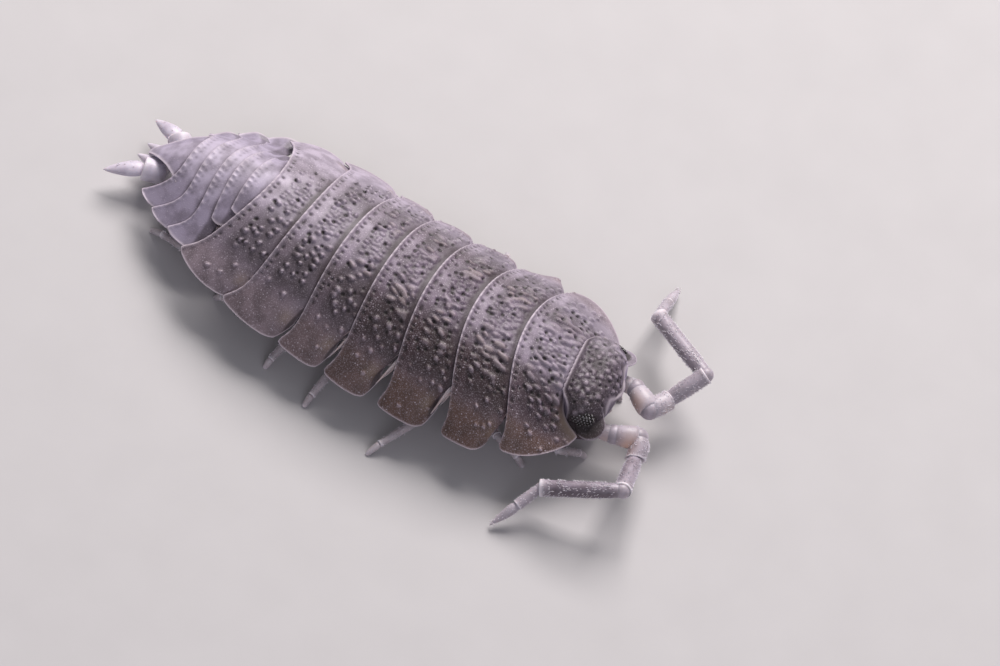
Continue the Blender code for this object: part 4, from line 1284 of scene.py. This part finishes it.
# %% Floor
mesh = bmesh.new()
bmesh.ops.create_grid(mesh, x_segments=1, y_segments=1, size=0.6)
floor_data = to_data("floor", mesh)
floor = bpy.data.objects.new("floor", floor_data)
bpy.context.scene.collection.objects.link(floor)
floor_paint, tree, shader = start_material("floor_matt_paint")
where = add(tree, "ShaderNodeTexCoord").outputs["Object"]
cloud = add(tree, "ShaderNodeTexNoise", None, Vector=where, Scale=1 / (2 * MM), Detail=4.0).outputs["Fac"]
shade = add(tree, "ShaderNodeMix", {"data_type": "RGBA"}, i0=cloud, i6=linear("#BFBCBD"), i7=linear("#B8B5B6"))
tree.links.new(shade.outputs[2], shader.inputs["Base Color"])
shader.inputs["Roughness"].default_value = 0.8
floor_data.materials.append(floor_paint)

# %% Light
CENTRE = Vector((0.0, 0.0, 0.0015))


def panel(name, way, distance, size, power, colour):
    """A square soft light that faces the animal."""
    lamp = bpy.data.lights.new(name, "AREA")
    lamp.shape = "SQUARE"
    lamp.size = size
    lamp.energy = power
    lamp.color = linear(colour)[:3]
    holder = bpy.data.objects.new(name, lamp)
    bpy.context.scene.collection.objects.link(holder)
    aim = Vector(way).normalized()
    holder.matrix_world = Matrix.Translation(CENTRE + aim * distance) @ aim.to_track_quat("Z", "Y").to_matrix().to_4x4()


panel("key_panel", (0.85, 0.20, 1.0), 0.18, 0.11, 0.50, "#FFFAF8")
panel("fill_panel", (-0.9, -0.5, 0.7), 0.20, 0.12, 0.085, "#F2F0FF")
world = bpy.data.worlds.new("studio")
world.use_nodes = True
world.node_tree.nodes["Background"].inputs["Color"].default_value = linear("#DADCE2")
world.node_tree.nodes["Background"].inputs["Strength"].default_value = 0.30
bpy.context.scene.world = world

# %% Camera
VIEW_AZIMUTH = -1.291
VIEW_HEIGHT = 0.928
VIEW_ROLL = 0.314
VIEW_SCALE = 33.814
VIEW_SHIFT = (3.528, -1.158)
VIEW_DISTANCE = 400.0
IMAGE_WIDTH = 1000
SENSOR = 36.0

back = Vector((
    math.sin(VIEW_AZIMUTH) * math.cos(VIEW_HEIGHT),
    -math.cos(VIEW_AZIMUTH) * math.cos(VIEW_HEIGHT),
    math.sin(VIEW_HEIGHT),
))
right = Vector((math.cos(VIEW_AZIMUTH), math.sin(VIEW_AZIMUTH), 0.0))
upward = back.cross(right)
rolled_right = right * math.cos(VIEW_ROLL) + upward * math.sin(VIEW_ROLL)
rolled_up = upward * math.cos(VIEW_ROLL) - right * math.sin(VIEW_ROLL)
centre = rolled_right * VIEW_SHIFT[0] + rolled_up * VIEW_SHIFT[1] + back * VIEW_DISTANCE
centre += Vector((CENTRING[0], CENTRING[1], RIDE))
lens = bpy.data.cameras.new("camera")
lens.sensor_width = SENSOR
lens.lens = VIEW_SCALE * VIEW_DISTANCE * SENSOR / IMAGE_WIDTH
lens.clip_start = 0.05
lens.clip_end = 5.0
camera = bpy.data.objects.new("camera", lens)
bpy.context.scene.collection.objects.link(camera)
turn = Matrix((rolled_right, rolled_up, back)).transposed().to_4x4()
camera.matrix_world = Matrix.Translation(centre * MM) @ turn
bpy.context.scene.camera = camera
bpy.context.scene.view_settings.view_transform = "Standard"
print("camera at", camera.location, "lens", lens.lens)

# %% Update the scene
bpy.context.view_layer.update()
